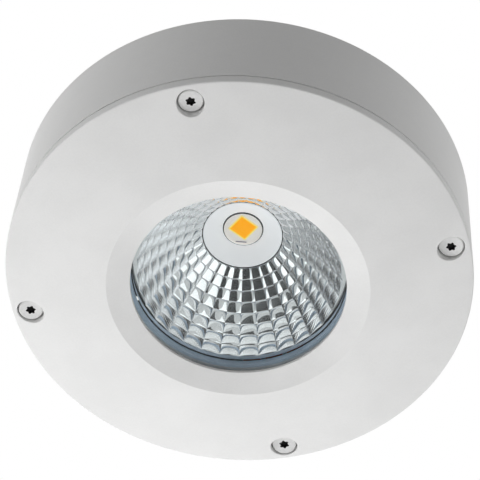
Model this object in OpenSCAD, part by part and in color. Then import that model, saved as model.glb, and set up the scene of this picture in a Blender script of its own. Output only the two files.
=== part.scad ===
// Surface mounted outdoor downlight: a shallow cast drum that screws to a ceiling, a domed
// cover with a dished lens opening, a faceted reflector and its built-in driver.
// Millimetres. +Z points up into the ceiling and the origin is the middle of the ceiling face,
// so every piece hangs at negative Z. The four cover screws lie on the X and Y axes.

/* [Drum] */
// Radius of the cover's rim, the widest place of the lamp
rim_r = 80; // [78:0.5:90]
// How much narrower the drum is at the ceiling, on each side
drum_taper = 1.8; // [0:0.1:3]
// Depth from the ceiling to the plane of the cover's rim
rim_depth = 41.7; // [41:0.1:50]
// Side wall of the drum
drum_wall = 3.6; // [3:0.1:4.5]
// Back wall of the drum
back_wall = 3.5; // [3:0.1:4.5]
// Bevel round the drum's ceiling edge
back_bevel = 0.6; // [0.3:0.1:1]

/* [Cover] */
// Height of the cover's cylindrical edge
cover_edge_h = 3.4; // [3:0.1:5]
// Rise of the domed face above the rim plane, as if it had no opening
dome_h = 10.1; // [9:0.1:12]
// Shell of the domed face
cover_wall = 3; // [2.4:0.1:3.6]
// Round along the cover's rim
rim_round = 0.7; // [0.4:0.1:1]
// Land of the cover's flat sealing flange inside the screws' counterbores
flange_land = 1.3; // [1:0.1:3]
// Radius of the lens opening
lens_open_r = 36.9; // [33:0.1:40]
// Width of the dish's slope round the lens opening
dish_w = 8.1; // [6:0.1:10]
// Depth of the dish at the lens opening
dish_sink = 2; // [1.6:0.1:2.4]
// Lip that holds the lens from the front
lens_lip_t = 1.2; // [1:0.1:1.6]

/* [Cover seal and screws] */
// Thickness of the flat seal between drum and cover
seal_t = 0.7; // [0.5:0.1:1.2]
// Width of the seal between the screws
seal_w = 2.4; // [2:0.1:2.6]
// How far the seal stays back from the drum's outside
seal_inset = 0.9; // [0.6:0.1:1.2]
// Distance from the rim to the cover screws
screw_inset = 6.5; // [6.3:0.1:7]
// Radius of the bosses that take the cover screws
boss_r = 5; // [4.6:0.1:5.5]
// Radius of a cover screw's shank
cover_screw_r = 2; // [1.5:0.1:2.2]
// Length of a cover screw under its head
cover_screw_l = 12; // [10:0.5:16]
// Radius of a cover screw's head
cover_head_r = 4.2; // [3.6:0.1:4.3]
// Height of a cover screw's head
cover_head_h = 2.2; // [2:0.1:2.4]
// How deep the head sits below the domed face, on the screw's axis
cover_head_sink = 1.2; // [1:0.1:1.4]
// Gap round the head in its counterbore
head_gap = 0.5; // [0.3:0.05:0.6]

/* [Lens] */
// How far the glass reaches behind the lip
lens_overlap = 3.1; // [2.5:0.1:4]
// Thickness of the glass
lens_t = 4; // [3:0.1:4.5]
// Bevel along the edges of the glass
lens_bevel = 0.4; // [0.2:0.1:0.6]
// Gap between the edge of the glass and its pocket
lens_gap = 0.3; // [0.2:0.05:0.5]
// Thickness of the seal under the glass
lens_seal_t = 0.6; // [0.4:0.1:1]
// Thickness of the ring that clamps the glass
clamp_t = 2.8; // [2:0.1:3.2]
// How much wider the clamp ring's hole is than the lens opening, on each side
clamp_step = 0.1; // [0:0.1:1]
// Width of the bevel along the clamp ring's inner edge, on the glass
clamp_bevel_w = 0.9; // [0.5:0.1:1.2]
// Width of the collar outside the glass, which the clamp ring is screwed to
collar_w = 7.5; // [7:0.1:9]

/* [Reflector] */
// Radius of the reflector's neck
neck_r = 14.2; // [14.1:0.1:15]
// How much smaller the reflector's mouth is than the lens opening, on each side
mouth_inset = 1.5; // [1:0.1:3]
// How far the reflector's profile turns from neck to mouth, in degrees
profile_bend = 26.7; // [20:0.1:32]
// Facets round the reflector
facet_columns = 33; // [24:1:40]
// Rows of facets from neck to mouth
facet_rows = 8; // [6:1:10]
// Bulge of a facet at the mouth
facet_bulge = 0.6; // [0.3:0.05:0.8]
// Turn of the first facet's edge from the X axis, in degrees
facet_turn = 4.45; // [0:0.05:11]
// Wall of the reflector
reflector_wall = 1.1; // [1:0.1:1.3]
// Gap between the reflector's mouth and the clamp ring
mouth_gap = 0.3; // [0.2:0.1:1]

/* [Light source] */
// How far the pedestal that cools the light source stands out round the holder
pedestal_step = 1.5; // [0.5:0.1:3]
// Height of the pedestal above the back wall
pedestal_h = 5.5; // [5:0.1:6.5]
// Side of the board of the light source
board_w = 19; // [18:0.1:19.4]
// Thickness of the board of the light source
board_t = 1; // [0.8:0.1:1.2]
// Side of the square light-emitting layer
phosphor_w = 7.1; // [6:0.1:8]
// Thickness of the light-emitting layer
phosphor_t = 0.15; // [0.1:0.05:0.3]
// Turn of the light source, in degrees
source_turn = 51.5; // [0:0.5:90]
// Thickness of the heat-conducting pad
pad_t = 0.3; // [0.2:0.05:0.5]
// Radius of the holder
holder_r = 22.5; // [22.2:0.1:23]
// Height of the holder
holder_h = 5.9; // [5.6:0.1:6.5]
// Radius of the hole in the holder that the light comes out of
holder_hole_r = 7.1; // [6.5:0.1:7.5]
// Thickness of the holder's lip at that hole
holder_lip_t = 0.8; // [0.6:0.1:1.2]
// Step between the white cone that runs out from that hole and the reflector's neck
cone_step = 0.2; // [0.1:0.05:0.5]
// Distance of the holder's screws from its edge
holder_screw_inset = 3.2; // [3.1:0.1:3.5]
// Width and height of the ring that centres the reflector's neck
neck_ring = 0.8; // [0.6:0.1:0.9]

/* [Driver] */
// Gap between the driver's far corners and the drum's wall, along the driver
driver_end_gap = 4.2; // [3:0.1:8]
// Gap between the pedestal and the driver
driver_off = 7.5; // [7:0.1:9]
// Width of the driver
driver_w = 28; // [26:0.5:31]
// Height of the driver
driver_h = 20; // [18:0.1:22]
// Wall of the driver's case
driver_wall = 1.6; // [1.4:0.1:2]
// Thickness of the driver's circuit board
circuit_t = 1.6; // [1.2:0.1:1.8]
// Height of the rails under the circuit board
rail_h = 3; // [2.5:0.1:3.2]
// Length of a fixing lug
lug_l = 9; // [8.6:0.1:9.4]
// Thickness of a fixing lug
lug_t = 2.5; // [2:0.1:2.8]
// Gap between the driver's lid and the tallest piece on its circuit board
part_gap = 1.2; // [0.5:0.1:3]
// Radius of a capacitor
capacitor_r = 4; // [3:0.1:4.5]
// Distance between the two capacitors
capacitor_pitch = 10; // [9.5:0.1:12]
// Distance from the end of the circuit board to the nearer capacitor
capacitor_inset = 15.3; // [12:0.1:18]
// Length of the transformer's core
core_l = 17; // [14:0.1:20]
// Width of the transformer's core
core_w = 14; // [12:0.1:15]
// Height of the small bosses under the lugs
foot_h = 3; // [2.6:0.1:3.2]
// Radius of the small bosses
foot_r = 4; // [3.6:0.1:4.2]

/* [Terminals] */
// Distance between neighbouring poles
pole_pitch = 8; // [7.8:0.1:8.5]
// Length of the terminal block, along the wires
block_l = 20; // [18:0.1:22]
// Gap between the pedestal and the terminal block
block_off = 14; // [12:0.1:16]
// Wall between neighbouring levers
lever_web = 1.4; // [1.2:0.1:2]
// Thickness of a lever
lever_t = 2.5; // [2.2:0.1:2.8]
// Wall between the levers' slots and the wire holes
block_web = 0.5; // [0.4:0.1:1]
// Radius of a lever's pivot pins
pivot_r = 1; // [0.8:0.05:1.1]
// Radius of a wire's insulation
wire_r = 1.1; // [0.9:0.05:1.15]
// Radius of the holes for the supply cable's cores
core_hole_r = 1.6; // [1.4:0.05:1.8]

/* [Ceiling fixing and cable entry] */
// Distance from the rim to the middle of each fixing slot
fixing_inset = 22; // [20:0.5:24]
// Half the width of a fixing slot
slot_r = 2.6; // [2.2:0.1:2.8]
// Length of a fixing slot, end to end
slot_l = 10; // [8:0.5:12]
// Thickness of the rubber seals at the slots
slot_seal_t = 1.5; // [1:0.1:2]
// Width of those seals round the slot
slot_seal_w = 3; // [2:0.1:3.5]
// Distance of each cable entry from the lamp's axis along X
entry_x = 46; // [45:0.1:47]
// Distance of each cable entry from the lamp's axis along Y
entry_y = 27; // [26.5:0.1:28]
// Radius of a cable entry's hole
entry_r = 10.2; // [9.5:0.1:10.4]
// Width of the flange of the rubber pieces in the entries
entry_flange_w = 2; // [1.5:0.1:3]
// Thickness of that flange
entry_flange_t = 1.4; // [1:0.1:2]
// Height of the nose of the rubber pieces
entry_nose_h = 5; // [4:0.1:6]
// Radius of the bore for the supply cable
cable_r = 4; // [3:0.1:5]

/* [Clearances] */
// Radial clearance of a shaft that turns in its hole
running_gap = 0.05; // [0.02:0.01:0.1]
// Clearance of pieces that are set into one another
fit_gap = 0.1; // [0.05:0.01:0.2]
// Clearance of a hole that a screw passes through
through_gap = 0.3; // [0.2:0.05:0.4]
// Clearance beside a lever
lever_gap = 0.2; // [0.15:0.05:0.3]

/* [Hidden] */
$fn = 96;
e = 0.01;

// Heights and radii of the drum and the cover
back_r = rim_r - drum_taper;
back_z = -back_wall;
rim_z = -rim_depth;
cover_top_z = rim_z + cover_edge_h;
drum_mouth_z = cover_top_z + seal_t;
dome_sphere_r = (pow(rim_r, 2) + pow(dome_h, 2)) / (2 * dome_h);
dome_centre_z = dome_sphere_r + rim_z - dome_h;
cut = dome_h + rim_depth;

// Outer radius of drum and cover edge at a height, and height of the domed face at a radius
function drum_r(z) = back_r + (rim_r - back_r) * z / rim_z;
function dome_z(r) = dome_centre_z - sqrt(pow(dome_sphere_r, 2) - pow(r, 2));

// Stack of the lens, from the dish inwards
dish_r = lens_open_r + dish_w;
lens_r = lens_open_r + lens_overlap;
clamp_in_r = lens_open_r + clamp_step;
lip_front_z = dome_z(dish_r) + dish_sink;
lip_back_z = lip_front_z + lens_lip_t;
lens_front_z = lip_back_z + lens_seal_t;
lens_back_z = lens_front_z + lens_t;
clamp_back_z = lens_back_z + clamp_t;
pocket_r = lens_r + lens_gap;
clamp_out_r = pocket_r + collar_w;

// Small screws of the clamp ring, midway in the ring's land outside the glass
clamp_screw_r = 1.25;
clamp_screw_l = 7;
clamp_hole_l = clamp_screw_l - clamp_t + 0.3;
clamp_head_r = 2.2;
clamp_head_h = 1.6;
clamp_screw_at = (pocket_r + clamp_out_r) / 2;

// Cover screws
screw_at = rim_r - screw_inset;
cover_head_z = dome_z(screw_at) + cover_head_sink;
cover_seat_z = cover_head_z + cover_head_h;
counterbore_r = cover_head_r + head_gap;
cover_hole_l = cover_screw_l + 2;
flange_in_r = screw_at - counterbore_r - flange_land;

// Seal between drum and cover
seal_out_r = drum_r(cover_top_z) - seal_inset;
seal_eye_r = min(boss_r, screw_inset - seal_inset) - 0.2;

// Light source stack, from the back wall down
pedestal_r = holder_r + pedestal_step;
holder_screw_x = holder_r - holder_screw_inset;
holder_cone_r = neck_r - cone_step;
pad_z = back_z - pedestal_h;
board_z = pad_z - pad_t;
phosphor_z = board_z - board_t;
holder_z = pad_z - holder_h;
pocket_z = phosphor_z - fit_gap;
hole_lip_z = pocket_z - holder_lip_t;
holder_pocket_w = board_w + 2 * fit_gap;

// Medium screws of holder, driver and terminal block
m3_r = 1.5;
m3_head_r = 2.7;
m3_head_h = 2;
m3_l = 5.5;
m3_hole_l = 5.7;
holder_head_seat = 2.4;

// Profile of the reflector: an arc that turns by profile_bend from the neck to the mouth
mouth_r = lens_open_r - mouth_inset;
mouth_z = clamp_back_z + mouth_gap;
chord = norm([mouth_r - neck_r, mouth_z - holder_z]);
profile_r = chord / (2 * sin(profile_bend / 2));
profile_start = atan((holder_z - mouth_z) / (mouth_r - neck_r)) - profile_bend / 2;
function profile_angle(t) = profile_start + profile_bend * t;
function profile_point(t) = [
    neck_r + profile_r * (sin(profile_angle(t)) - sin(profile_start)),
    holder_z - profile_r * (cos(profile_start) - cos(profile_angle(t)))
];
neck_out_r = neck_r + reflector_wall / sin(profile_start);

// Driver, which fills a chord of the drum
driver_y = pedestal_r + driver_off;
driver_mid_y = -driver_y - driver_w / 2;
drum_in_r = drum_r(back_z) - drum_wall;
driver_l = 2 * (sqrt(pow(drum_in_r, 2) - pow(driver_y + driver_w, 2)) - driver_end_gap);
lug_y = driver_mid_y - 5;
lug_x = driver_l / 2 + lug_l / 2;
foot_z = back_z - foot_h;
lug_z = foot_z - lug_t;
driver_z = back_z - driver_h;
lid_z = driver_z + driver_wall;
rail_z = back_z - driver_wall - rail_h;
circuit_z = rail_z - circuit_t;
circuit_l = driver_l - 2 * driver_wall - 2 * fit_gap;
circuit_w = driver_w - 2 * driver_wall - 2 * fit_gap;
rail_w = 2;
part_h = circuit_z - lid_z - part_gap;
capacitor_x = circuit_l / 2 - capacitor_inset;
bare_l = circuit_l - capacitor_inset - capacitor_pitch - capacitor_r - core_l;
transformer_x = capacitor_x - capacitor_pitch - capacitor_r - bare_l / 4 - core_l / 2;

// Ceiling fixing
fixing_x = rim_r - fixing_inset;

// Terminal block
poles = 3;
wire_z = circuit_z - wire_r - fit_gap;
lever_slot_h = 4.5;
lever_w = pole_pitch - lever_web - 2 * lever_gap;
block_w = poles * pole_pitch + 3;
block_y = pedestal_r + block_off;
block_mid_y = block_y + block_l / 2;
block_z = wire_z - core_hole_r - block_web - lever_slot_h;
block_h = back_z - block_z;
block_screw_x = block_w / 2 + foot_r;
pivot_y = block_y + 3.5;
pivot_z = block_z + 2;
hub_r = 2;
lever_slot_y = pivot_y - hub_r - 0.5;
lever_end_y = block_y + block_l - 1.5;
contact_l = 6;
contact_w = pole_pitch / 2;
contact_h = 4;
contact_y = block_y + 6;
wire_hole_r = wire_r + 0.15;

// Earth screw
earth_at = [-27, 18];
earth_screw_r = 2;
earth_head_r = 3.5;
earth_head_h = 2.4;
earth_foot_r = 4.5;
earth_turn = 47;
earth_lug_t = 0.8;
earth_lug_r = 4.2;
barrel_r = 1.9;
barrel_hole_r = wire_r + 0.2;
barrel_from = 5;
barrel_to = 12;
earth_lug_z = foot_z - earth_lug_t;
barrel_z = foot_z - barrel_r;

// Places where wires enter the driver and the holder
live_in_y = driver_mid_y + 5.5;
neutral_in_y = driver_mid_y + 10.5;
led_out_x = 9;
led_in_x = 7;
holder_wire_l = 4;

// Routes of the wires, at the middle of each wire
contact_face_y = contact_y + fit_gap;
live_route = [
    [pole_pitch, contact_face_y, wire_z], [pole_pitch, block_y, wire_z],
    [pole_pitch, block_y - 3, wire_z], [13, 30, wire_z],
    [26, 26, wire_z], [37, 15, wire_z], [44, 0, wire_z], [49, -18, wire_z], [50, -30, wire_z],
    [48, -37, wire_z], [44.5, -40, wire_z], [driver_l / 2, live_in_y, wire_z],
    [driver_l / 2 - 5, live_in_y, wire_z]
];
neutral_route = [
    [0, contact_face_y, wire_z], [0, block_y, wire_z], [0, block_y - 3, wire_z], [8, 29, wire_z],
    [23, 22, wire_z], [33, 12, wire_z], [40, -2, wire_z], [45, -18, wire_z], [46, -28, wire_z],
    [45, -33, wire_z], [driver_l / 2, neutral_in_y, wire_z],
    [driver_l / 2 - 5, neutral_in_y, wire_z]
];
earth_route = [
    [-pole_pitch, contact_face_y, wire_z], [-pole_pitch, block_y, wire_z],
    [-pole_pitch, block_y - 3, wire_z], [-10, 32.5, wire_z + 0.7],
    [-14, 30.5, wire_z + 1.8], at_barrel(barrel_to), at_barrel(barrel_from + 4)
];
led_positive_route = [
    [led_out_x, -driver_y - 4, wire_z], [led_out_x, -driver_y, wire_z],
    [led_out_x - 0.4, -driver_y + 2, wire_z], [led_in_x + 0.4, -holder_r - 2, wire_z],
    [led_in_x, -holder_r, wire_z], [led_in_x, -holder_r + holder_wire_l, wire_z]
];
led_negative_route = [for (p = led_positive_route) [-p[0], p[1], p[2]]];
function at_barrel(d) = [
    earth_at[0] + d * cos(earth_turn), earth_at[1] + d * sin(earth_turn), barrel_z
];

// Points of a smooth curve through a route, a few to each stretch
function spline_at(a, b, c, d, t) =
    0.5 * (2 * b + (c - a) * t + (2 * a - 5 * b + 4 * c - d) * pow(t, 2)
    + (3 * b - a - 3 * c + d) * pow(t, 3));
function smooth(p, n) = [
    for (i = [0:len(p) - 2], k = [0:n - 1])
        spline_at(p[max(i - 1, 0)], p[i], p[i + 1], p[min(i + 2, len(p) - 1)], k / n),
    p[len(p) - 1]
];

// A tube of equal rings along points that climb little, so each ring stays upright
module tube(points, r, sides) {
    n = len(points);
    rings = [
        for (i = [0:n - 1])
            let (way = points[min(i + 1, n - 1)] - points[max(i - 1, 0)])
            let (u = way / norm(way))
            let (side = cross(u, [0, 0, 1]) / norm(cross(u, [0, 0, 1])))
            let (up = cross(side, u))
            for (k = [0:sides - 1])
                points[i] + r * cos(360 * k / sides) * side + r * sin(360 * k / sides) * up
    ];
    walls = [
        for (i = [0:n - 2], k = [0:sides - 1])
            let (a = i * sides + k, b = i * sides + (k + 1) % sides)
            each [[a, a + sides, b], [b, a + sides, b + sides]]
    ];
    first = [[for (k = [0:sides - 1]) k]];
    last = [[for (k = [sides - 1:-1:0]) (n - 1) * sides + k]];
    polyhedron(points = rings, faces = concat(walls, first, last));
}

// A screw with its seat at the origin: the head hangs down and the shank points up
module screw(head_r, head_h, shank_r, length, socket_r) {
    bevel = 0.35;
    tip = 0.6;
    difference() {
        rotate_extrude()
            polygon([
                [0, -head_h], [head_r - bevel, -head_h], [head_r, bevel - head_h], [head_r, 0],
                [shank_r, 0], [shank_r, length - tip], [shank_r - tip, length], [0, length]
            ]);
        translate([0, 0, -head_h - e])
            linear_extrude(head_h * 0.6)
                six_lobes(socket_r);
    }
}

// Outline of a six-lobe socket
module six_lobes(r) {
    lobe = 0.28 * r;
    circle(r - lobe);
    for (k = [0:5])
        rotate(60 * k)
            translate([r - lobe, 0])
                circle(lobe);
}

// Places what follows at each of the four cover screws
module at_cover_screws() {
    for (k = [0:3])
        rotate(90 * k)
            translate([screw_at, 0, 0])
                children();
}

// Places what follows at each of the four clamp ring screws
module at_clamp_screws() {
    for (k = [0:3])
        rotate(90 * k + 45)
            translate([clamp_screw_at, 0, 0])
                children();
}

// Places what follows at both ends of an X distance
module at_both_x(x, y = 0) {
    for (side = [-1, 1])
        translate([side * x, y, 0])
            children();
}

// A slot along X with round ends
module slot_2d(r, length) {
    square([length - 2 * r, 2 * r], center = true);
    at_both_x(length / 2 - r)
        circle(r);
}

// Cast drum with its back wall, pedestal, bosses and holes
module housing() {
    color("gainsboro")
        difference() {
            union() {
                rotate_extrude()
                    polygon([
                        [0, 0], [back_r - back_bevel, 0], [drum_r(-back_bevel), -back_bevel],
                        [drum_r(drum_mouth_z), drum_mouth_z],
                        [drum_r(drum_mouth_z) - drum_wall, drum_mouth_z],
                        [drum_r(back_z) - drum_wall, back_z], [0, back_z]
                    ]);
                intersection() {
                    at_cover_screws()
                        translate([0, 0, drum_mouth_z])
                            cylinder(r = boss_r, h = back_z - drum_mouth_z + e);
                    translate([0, 0, drum_mouth_z])
                        cylinder(r1 = drum_r(drum_mouth_z) - 0.5, r2 = back_r - 0.5,
                            h = back_z - drum_mouth_z + e);
                }
                translate([0, 0, pad_z])
                    cylinder(r = pedestal_r, h = pedestal_h + e);
                foot_bosses();
            }
            at_cover_screws()
                translate([0, 0, drum_mouth_z - e])
                    cylinder(r = cover_screw_r + running_gap, h = cover_hole_l);
            at_both_x(holder_screw_x)
                translate([0, 0, pad_z - e])
                    cylinder(r = m3_r + running_gap, h = m3_hole_l - holder_head_seat);
            at_both_x(lug_x, lug_y)
                foot_hole(m3_r, m3_hole_l - lug_t);
            at_both_x(block_screw_x, block_mid_y)
                foot_hole(m3_r, m3_hole_l - lug_t);
            translate(earth_at)
                foot_hole(earth_screw_r, foot_h + back_wall - 1.5);
            at_both_x(fixing_x)
                translate([0, 0, back_z - 1])
                    linear_extrude(back_wall + 2)
                        slot_2d(slot_r, slot_l);
            at_both_x(entry_x, entry_y)
                translate([0, 0, back_z - 1])
                    cylinder(r = entry_r, h = back_wall + 2);
        }
}

// Small bosses under the driver's lugs, the terminal block's ears and the earth screw
module foot_bosses() {
    at_both_x(lug_x, lug_y)
        translate([0, 0, foot_z])
            cylinder(r = foot_r, h = foot_h + e);
    at_both_x(block_screw_x, block_mid_y)
        translate([0, 0, foot_z])
            cylinder(r = foot_r, h = foot_h + e);
    translate([earth_at[0], earth_at[1], foot_z])
        cylinder(r = earth_foot_r, h = foot_h + e);
}

// Tapped hole in a small boss
module foot_hole(r, depth) {
    translate([0, 0, foot_z - e])
        cylinder(r = r + running_gap, h = depth);
}

// Outline of the cover's solid, right of the axis: domed below, with a round along the rim
module cover_outline() {
    round_x = rim_r - rim_round;
    round_z = dome_centre_z - sqrt(pow(dome_sphere_r - rim_round, 2) - pow(round_x, 2));
    touch_x = round_x * dome_sphere_r / (dome_sphere_r - rim_round);
    intersection() {
        translate([0, dome_centre_z])
            circle(dome_sphere_r, $fn = 720);
        translate([0, -cut - 1])
            square([touch_x, cut + 1 + cover_top_z]);
    }
    translate([round_x, round_z])
        circle(rim_round);
    polygon([
        [round_x - rim_round, round_z], [rim_r, round_z], [drum_r(cover_top_z), cover_top_z],
        [round_x - rim_round, cover_top_z]
    ]);
}

// Domed cover with its dish, lens pocket, collar, flange and counterbores
module front_cover() {
    color("whitesmoke")
        difference() {
            rotate_extrude()
                difference() {
                    cover_outline();
                    intersection() {
                        translate([0, dome_centre_z])
                            circle(dome_sphere_r - cover_wall, $fn = 720);
                        translate([clamp_out_r, -cut])
                            square([flange_in_r - clamp_out_r, cut]);
                    }
                    polygon([
                        [0, -cut - 1], [lens_open_r, -cut - 1], [lens_open_r, lip_back_z],
                        [pocket_r, lip_back_z], [pocket_r, lens_back_z],
                        [clamp_out_r + e, lens_back_z], [clamp_out_r + e, 0], [0, 0]
                    ]);
                    polygon([
                        [0, -cut - 1], [dish_r + 0.9, -cut - 1], [dish_r, dome_z(dish_r)],
                        [lens_open_r, lip_front_z], [0, lip_front_z]
                    ]);
                }
            at_cover_screws() {
                translate([0, 0, -cut])
                    cylinder(r = counterbore_r, h = cut + cover_seat_z);
                translate([0, 0, -cut])
                    cylinder(r = cover_screw_r + through_gap, h = cut);
            }
            at_clamp_screws()
                translate([0, 0, lens_back_z - clamp_hole_l])
                    cylinder(r = clamp_screw_r + running_gap, h = clamp_hole_l + 1);
        }
}

// Flat seal between drum and cover, with an eye round each cover screw
module cover_seal() {
    color("dimgray")
        translate([0, 0, cover_top_z])
            linear_extrude(seal_t)
                difference() {
                    intersection() {
                        circle(seal_out_r);
                        union() {
                            difference() {
                                circle(seal_out_r);
                                circle(seal_out_r - seal_w);
                            }
                            at_cover_screws()
                                circle(seal_eye_r);
                        }
                    }
                    at_cover_screws()
                        circle(cover_screw_r + through_gap);
                }
}

// One of the four screws that hold the cover
module cover_screw(k) {
    color("silver")
        rotate(90 * k)
            translate([screw_at, 0, cover_seat_z])
                screw(cover_head_r, cover_head_h, cover_screw_r, cover_screw_l, 1.65);
}

// Glass disc with bevelled edges
module lens() {
    color("azure", 0.4)
        rotate_extrude()
            polygon([
                [0, lens_front_z], [lens_r - lens_bevel, lens_front_z],
                [lens_r, lens_front_z + lens_bevel], [lens_r, lens_back_z - lens_bevel],
                [lens_r - lens_bevel, lens_back_z], [0, lens_back_z]
            ]);
}

// Ring of silicone between the lip and the glass
module lens_seal() {
    color("gray")
        translate([0, 0, lip_back_z])
            difference() {
                cylinder(r = lens_r, h = lens_seal_t);
                translate([0, 0, -1])
                    cylinder(r = lens_open_r + 0.4, h = lens_seal_t + 2);
            }
}

// Ring that presses the glass against its seal, bevelled where the light passes
module lens_clamp_ring() {
    color("lightsteelblue")
        difference() {
            rotate_extrude()
                polygon([
                    [clamp_in_r + clamp_bevel_w, lens_back_z], [clamp_out_r, lens_back_z],
                    [clamp_out_r, clamp_back_z], [clamp_in_r, clamp_back_z],
                    [clamp_in_r, lens_back_z + clamp_bevel_w / 3]
                ]);
            at_clamp_screws()
                translate([0, 0, lens_back_z - 1])
                    cylinder(r = clamp_screw_r + through_gap, h = clamp_t + 2);
        }
}

// The four screws of the clamp ring, heads inside the lamp
module clamp_ring_screws() {
    color("silver")
        at_clamp_screws()
            translate([0, 0, clamp_back_z])
                mirror([0, 0, 1])
                    screw(clamp_head_r, clamp_head_h, clamp_screw_r, clamp_screw_l, 1);
}

// Faceted reflector: each facet is a low four-sided cushion that bulges inwards, and the wall
// behind it has the same columns and rows without the bulge
module reflector() {
    rows = facet_rows;
    cols = facet_columns;
    inner = [
        for (i = [0:rows], j = [0:cols - 1])
            let (p = profile_point(i / rows))
            turned(p[0], j, p[1])
    ];
    crowns = [
        for (i = [0:rows - 1], j = [0:cols - 1])
            let (t = (i + 0.5) / rows)
            let (p = profile_point(t), a = profile_angle(t), b = facet_bulge * p[0] / mouth_r)
            turned(p[0] * cos(180 / cols) - b * sin(a), j + 0.5, p[1] - b * cos(a))
    ];
    outer = [
        for (i = [0:rows], j = [0:cols - 1])
            let (p = profile_point(i / rows), a = profile_angle(i / rows))
            turned(p[0] + reflector_wall / sin(a), j, p[1])
    ];
    crown_0 = len(inner);
    outer_0 = crown_0 + len(crowns);
    cushions = [
        for (i = [0:rows - 1], j = [0:cols - 1])
            let (a = i * cols + j, b = i * cols + (j + 1) % cols, c = crown_0 + i * cols + j)
            each [[a, b, c], [b, b + cols, c], [b + cols, a + cols, c], [a + cols, a, c]]
    ];
    backs = [
        for (i = [0:rows - 1], j = [0:cols - 1])
            let (a = outer_0 + i * cols + j, b = outer_0 + i * cols + (j + 1) % cols)
            each [[a, a + cols, b], [b, a + cols, b + cols]]
    ];
    ends = [
        for (i = [0, rows], j = [0:cols - 1])
            let (a = i * cols + j, b = i * cols + (j + 1) % cols)
            let (c = outer_0 + a, d = outer_0 + b)
            each i == 0 ? [[a, c, b], [b, c, d]] : [[a, b, c], [b, d, c]]
    ];
    color("silver")
        polyhedron(points = concat(inner, crowns, outer), faces = concat(cushions, backs, ends));
}

// Point at a radius, a count of facet columns and a height
function turned(r, column, z) = [
    r * cos(facet_turn + 360 * column / facet_columns),
    r * sin(facet_turn + 360 * column / facet_columns),
    z
];

// White holder that presses the light source down and centres the reflector
module led_holder() {
    ring_in_r = neck_out_r + fit_gap;
    ring_mouth_r = ring_in_r + neck_ring / tan(profile_start);
    color("white")
        difference() {
            rotate_extrude()
                polygon([
                    [holder_hole_r, pad_z], [holder_r, pad_z], [holder_r, holder_z],
                    [ring_mouth_r + neck_ring, holder_z],
                    [ring_mouth_r + neck_ring, holder_z - neck_ring],
                    [ring_mouth_r, holder_z - neck_ring], [ring_in_r, holder_z],
                    [holder_cone_r, holder_z], [holder_hole_r, hole_lip_z]
                ]);
            rotate(source_turn)
                translate([0, 0, (pad_z + pocket_z) / 2 + e])
                    cube([holder_pocket_w, holder_pocket_w, pad_z - pocket_z + 2 * e], center = true);
            at_both_x(holder_screw_x) {
                translate([0, 0, holder_z - neck_ring - 1])
                    cylinder(r = m3_r + through_gap, h = holder_h + neck_ring + 2);
                translate([0, 0, holder_z - neck_ring - 1])
                    cylinder(r = m3_head_r + through_gap, h = holder_h + neck_ring + 1 - holder_head_seat);
            }
            for (side = [-1, 1])
                translate([side * led_in_x, -holder_r + holder_wire_l + fit_gap, wire_z])
                    rotate([90, 0, 0])
                        cylinder(r = wire_hole_r, h = holder_wire_l + 2);
        }
}

// The two screws of the holder, heads in their counterbores
module led_holder_screws() {
    color("silver")
        at_both_x(holder_screw_x)
            translate([0, 0, pad_z - holder_head_seat])
                screw(m3_head_r, m3_head_h, m3_r, m3_l, 1.1);
}

// Metal board of the light source
module led_board() {
    color("silver")
        rotate(source_turn)
            translate([0, 0, phosphor_z + board_t / 2])
                cube([board_w, board_w, board_t], center = true);
}

// Square light-emitting layer
module led_phosphor() {
    color("orange")
        rotate(source_turn)
            translate([0, 0, phosphor_z - phosphor_t / 2])
                cube([phosphor_w, phosphor_w, phosphor_t], center = true);
}

// Soft pad that carries the heat from the board to the pedestal
module thermal_pad() {
    color("slategray")
        rotate(source_turn)
            translate([0, 0, board_z + pad_t / 2])
                cube([board_w, board_w, pad_t], center = true);
}

// Open case of the driver with its rails, lugs and wire holes
module driver_case() {
    depth = driver_h - driver_wall;
    inner_l = driver_l - 2 * driver_wall;
    inner_w = driver_w - 2 * driver_wall;
    color("white")
        translate([0, driver_mid_y, 0])
            difference() {
                union() {
                    translate([0, 0, back_z - depth / 2])
                        cube([driver_l, driver_w, depth], center = true);
                    translate([0, -5, lug_z])
                        linear_extrude(lug_t)
                            hull()
                                at_both_x(lug_x)
                                    circle(lug_l / 2, $fn = 32);
                }
                difference() {
                    translate([0, 0, back_z - driver_wall - depth / 2])
                        cube([inner_l, inner_w, depth], center = true);
                    for (side = [-1, 1])
                        translate([0, side * (inner_w - rail_w) / 2, rail_z + rail_h / 2])
                            cube([driver_l, rail_w, rail_h], center = true);
                }
                at_both_x(lug_x, -5)
                    translate([0, 0, lug_z - 1])
                        cylinder(r = m3_r + through_gap, h = lug_t + 2);
                for (y = [live_in_y, neutral_in_y])
                    translate([driver_l / 2 - 2 * driver_wall, y - driver_mid_y, wire_z])
                        rotate([0, 90, 0])
                            cylinder(r = wire_hole_r, h = 3 * driver_wall);
                for (side = [-1, 1])
                    translate([side * led_out_x, driver_w / 2 + driver_wall, wire_z])
                        rotate([90, 0, 0])
                            cylinder(r = wire_hole_r, h = 3 * driver_wall);
            }
}

// Flat lid that closes the driver's case
module driver_lid() {
    color("gainsboro")
        translate([0, driver_mid_y, driver_z + driver_wall / 2])
            cube([driver_l, driver_w, driver_wall], center = true);
}

// Circuit board of the driver, on the case's rails
module driver_circuit() {
    color("seagreen")
        translate([0, driver_mid_y, circuit_z + circuit_t / 2])
            cube([circuit_l, circuit_w, circuit_t], center = true);
}

// Transformer on the circuit board: a core round a winding
module driver_transformer() {
    color("goldenrod")
        translate([transformer_x, driver_mid_y - 1, circuit_z - part_h / 2])
            union() {
                cube([core_l, core_w, part_h], center = true);
                translate([0, 0, 1])
                    cube([core_l - 4, core_w + 3, part_h - 4], center = true);
            }
}

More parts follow.
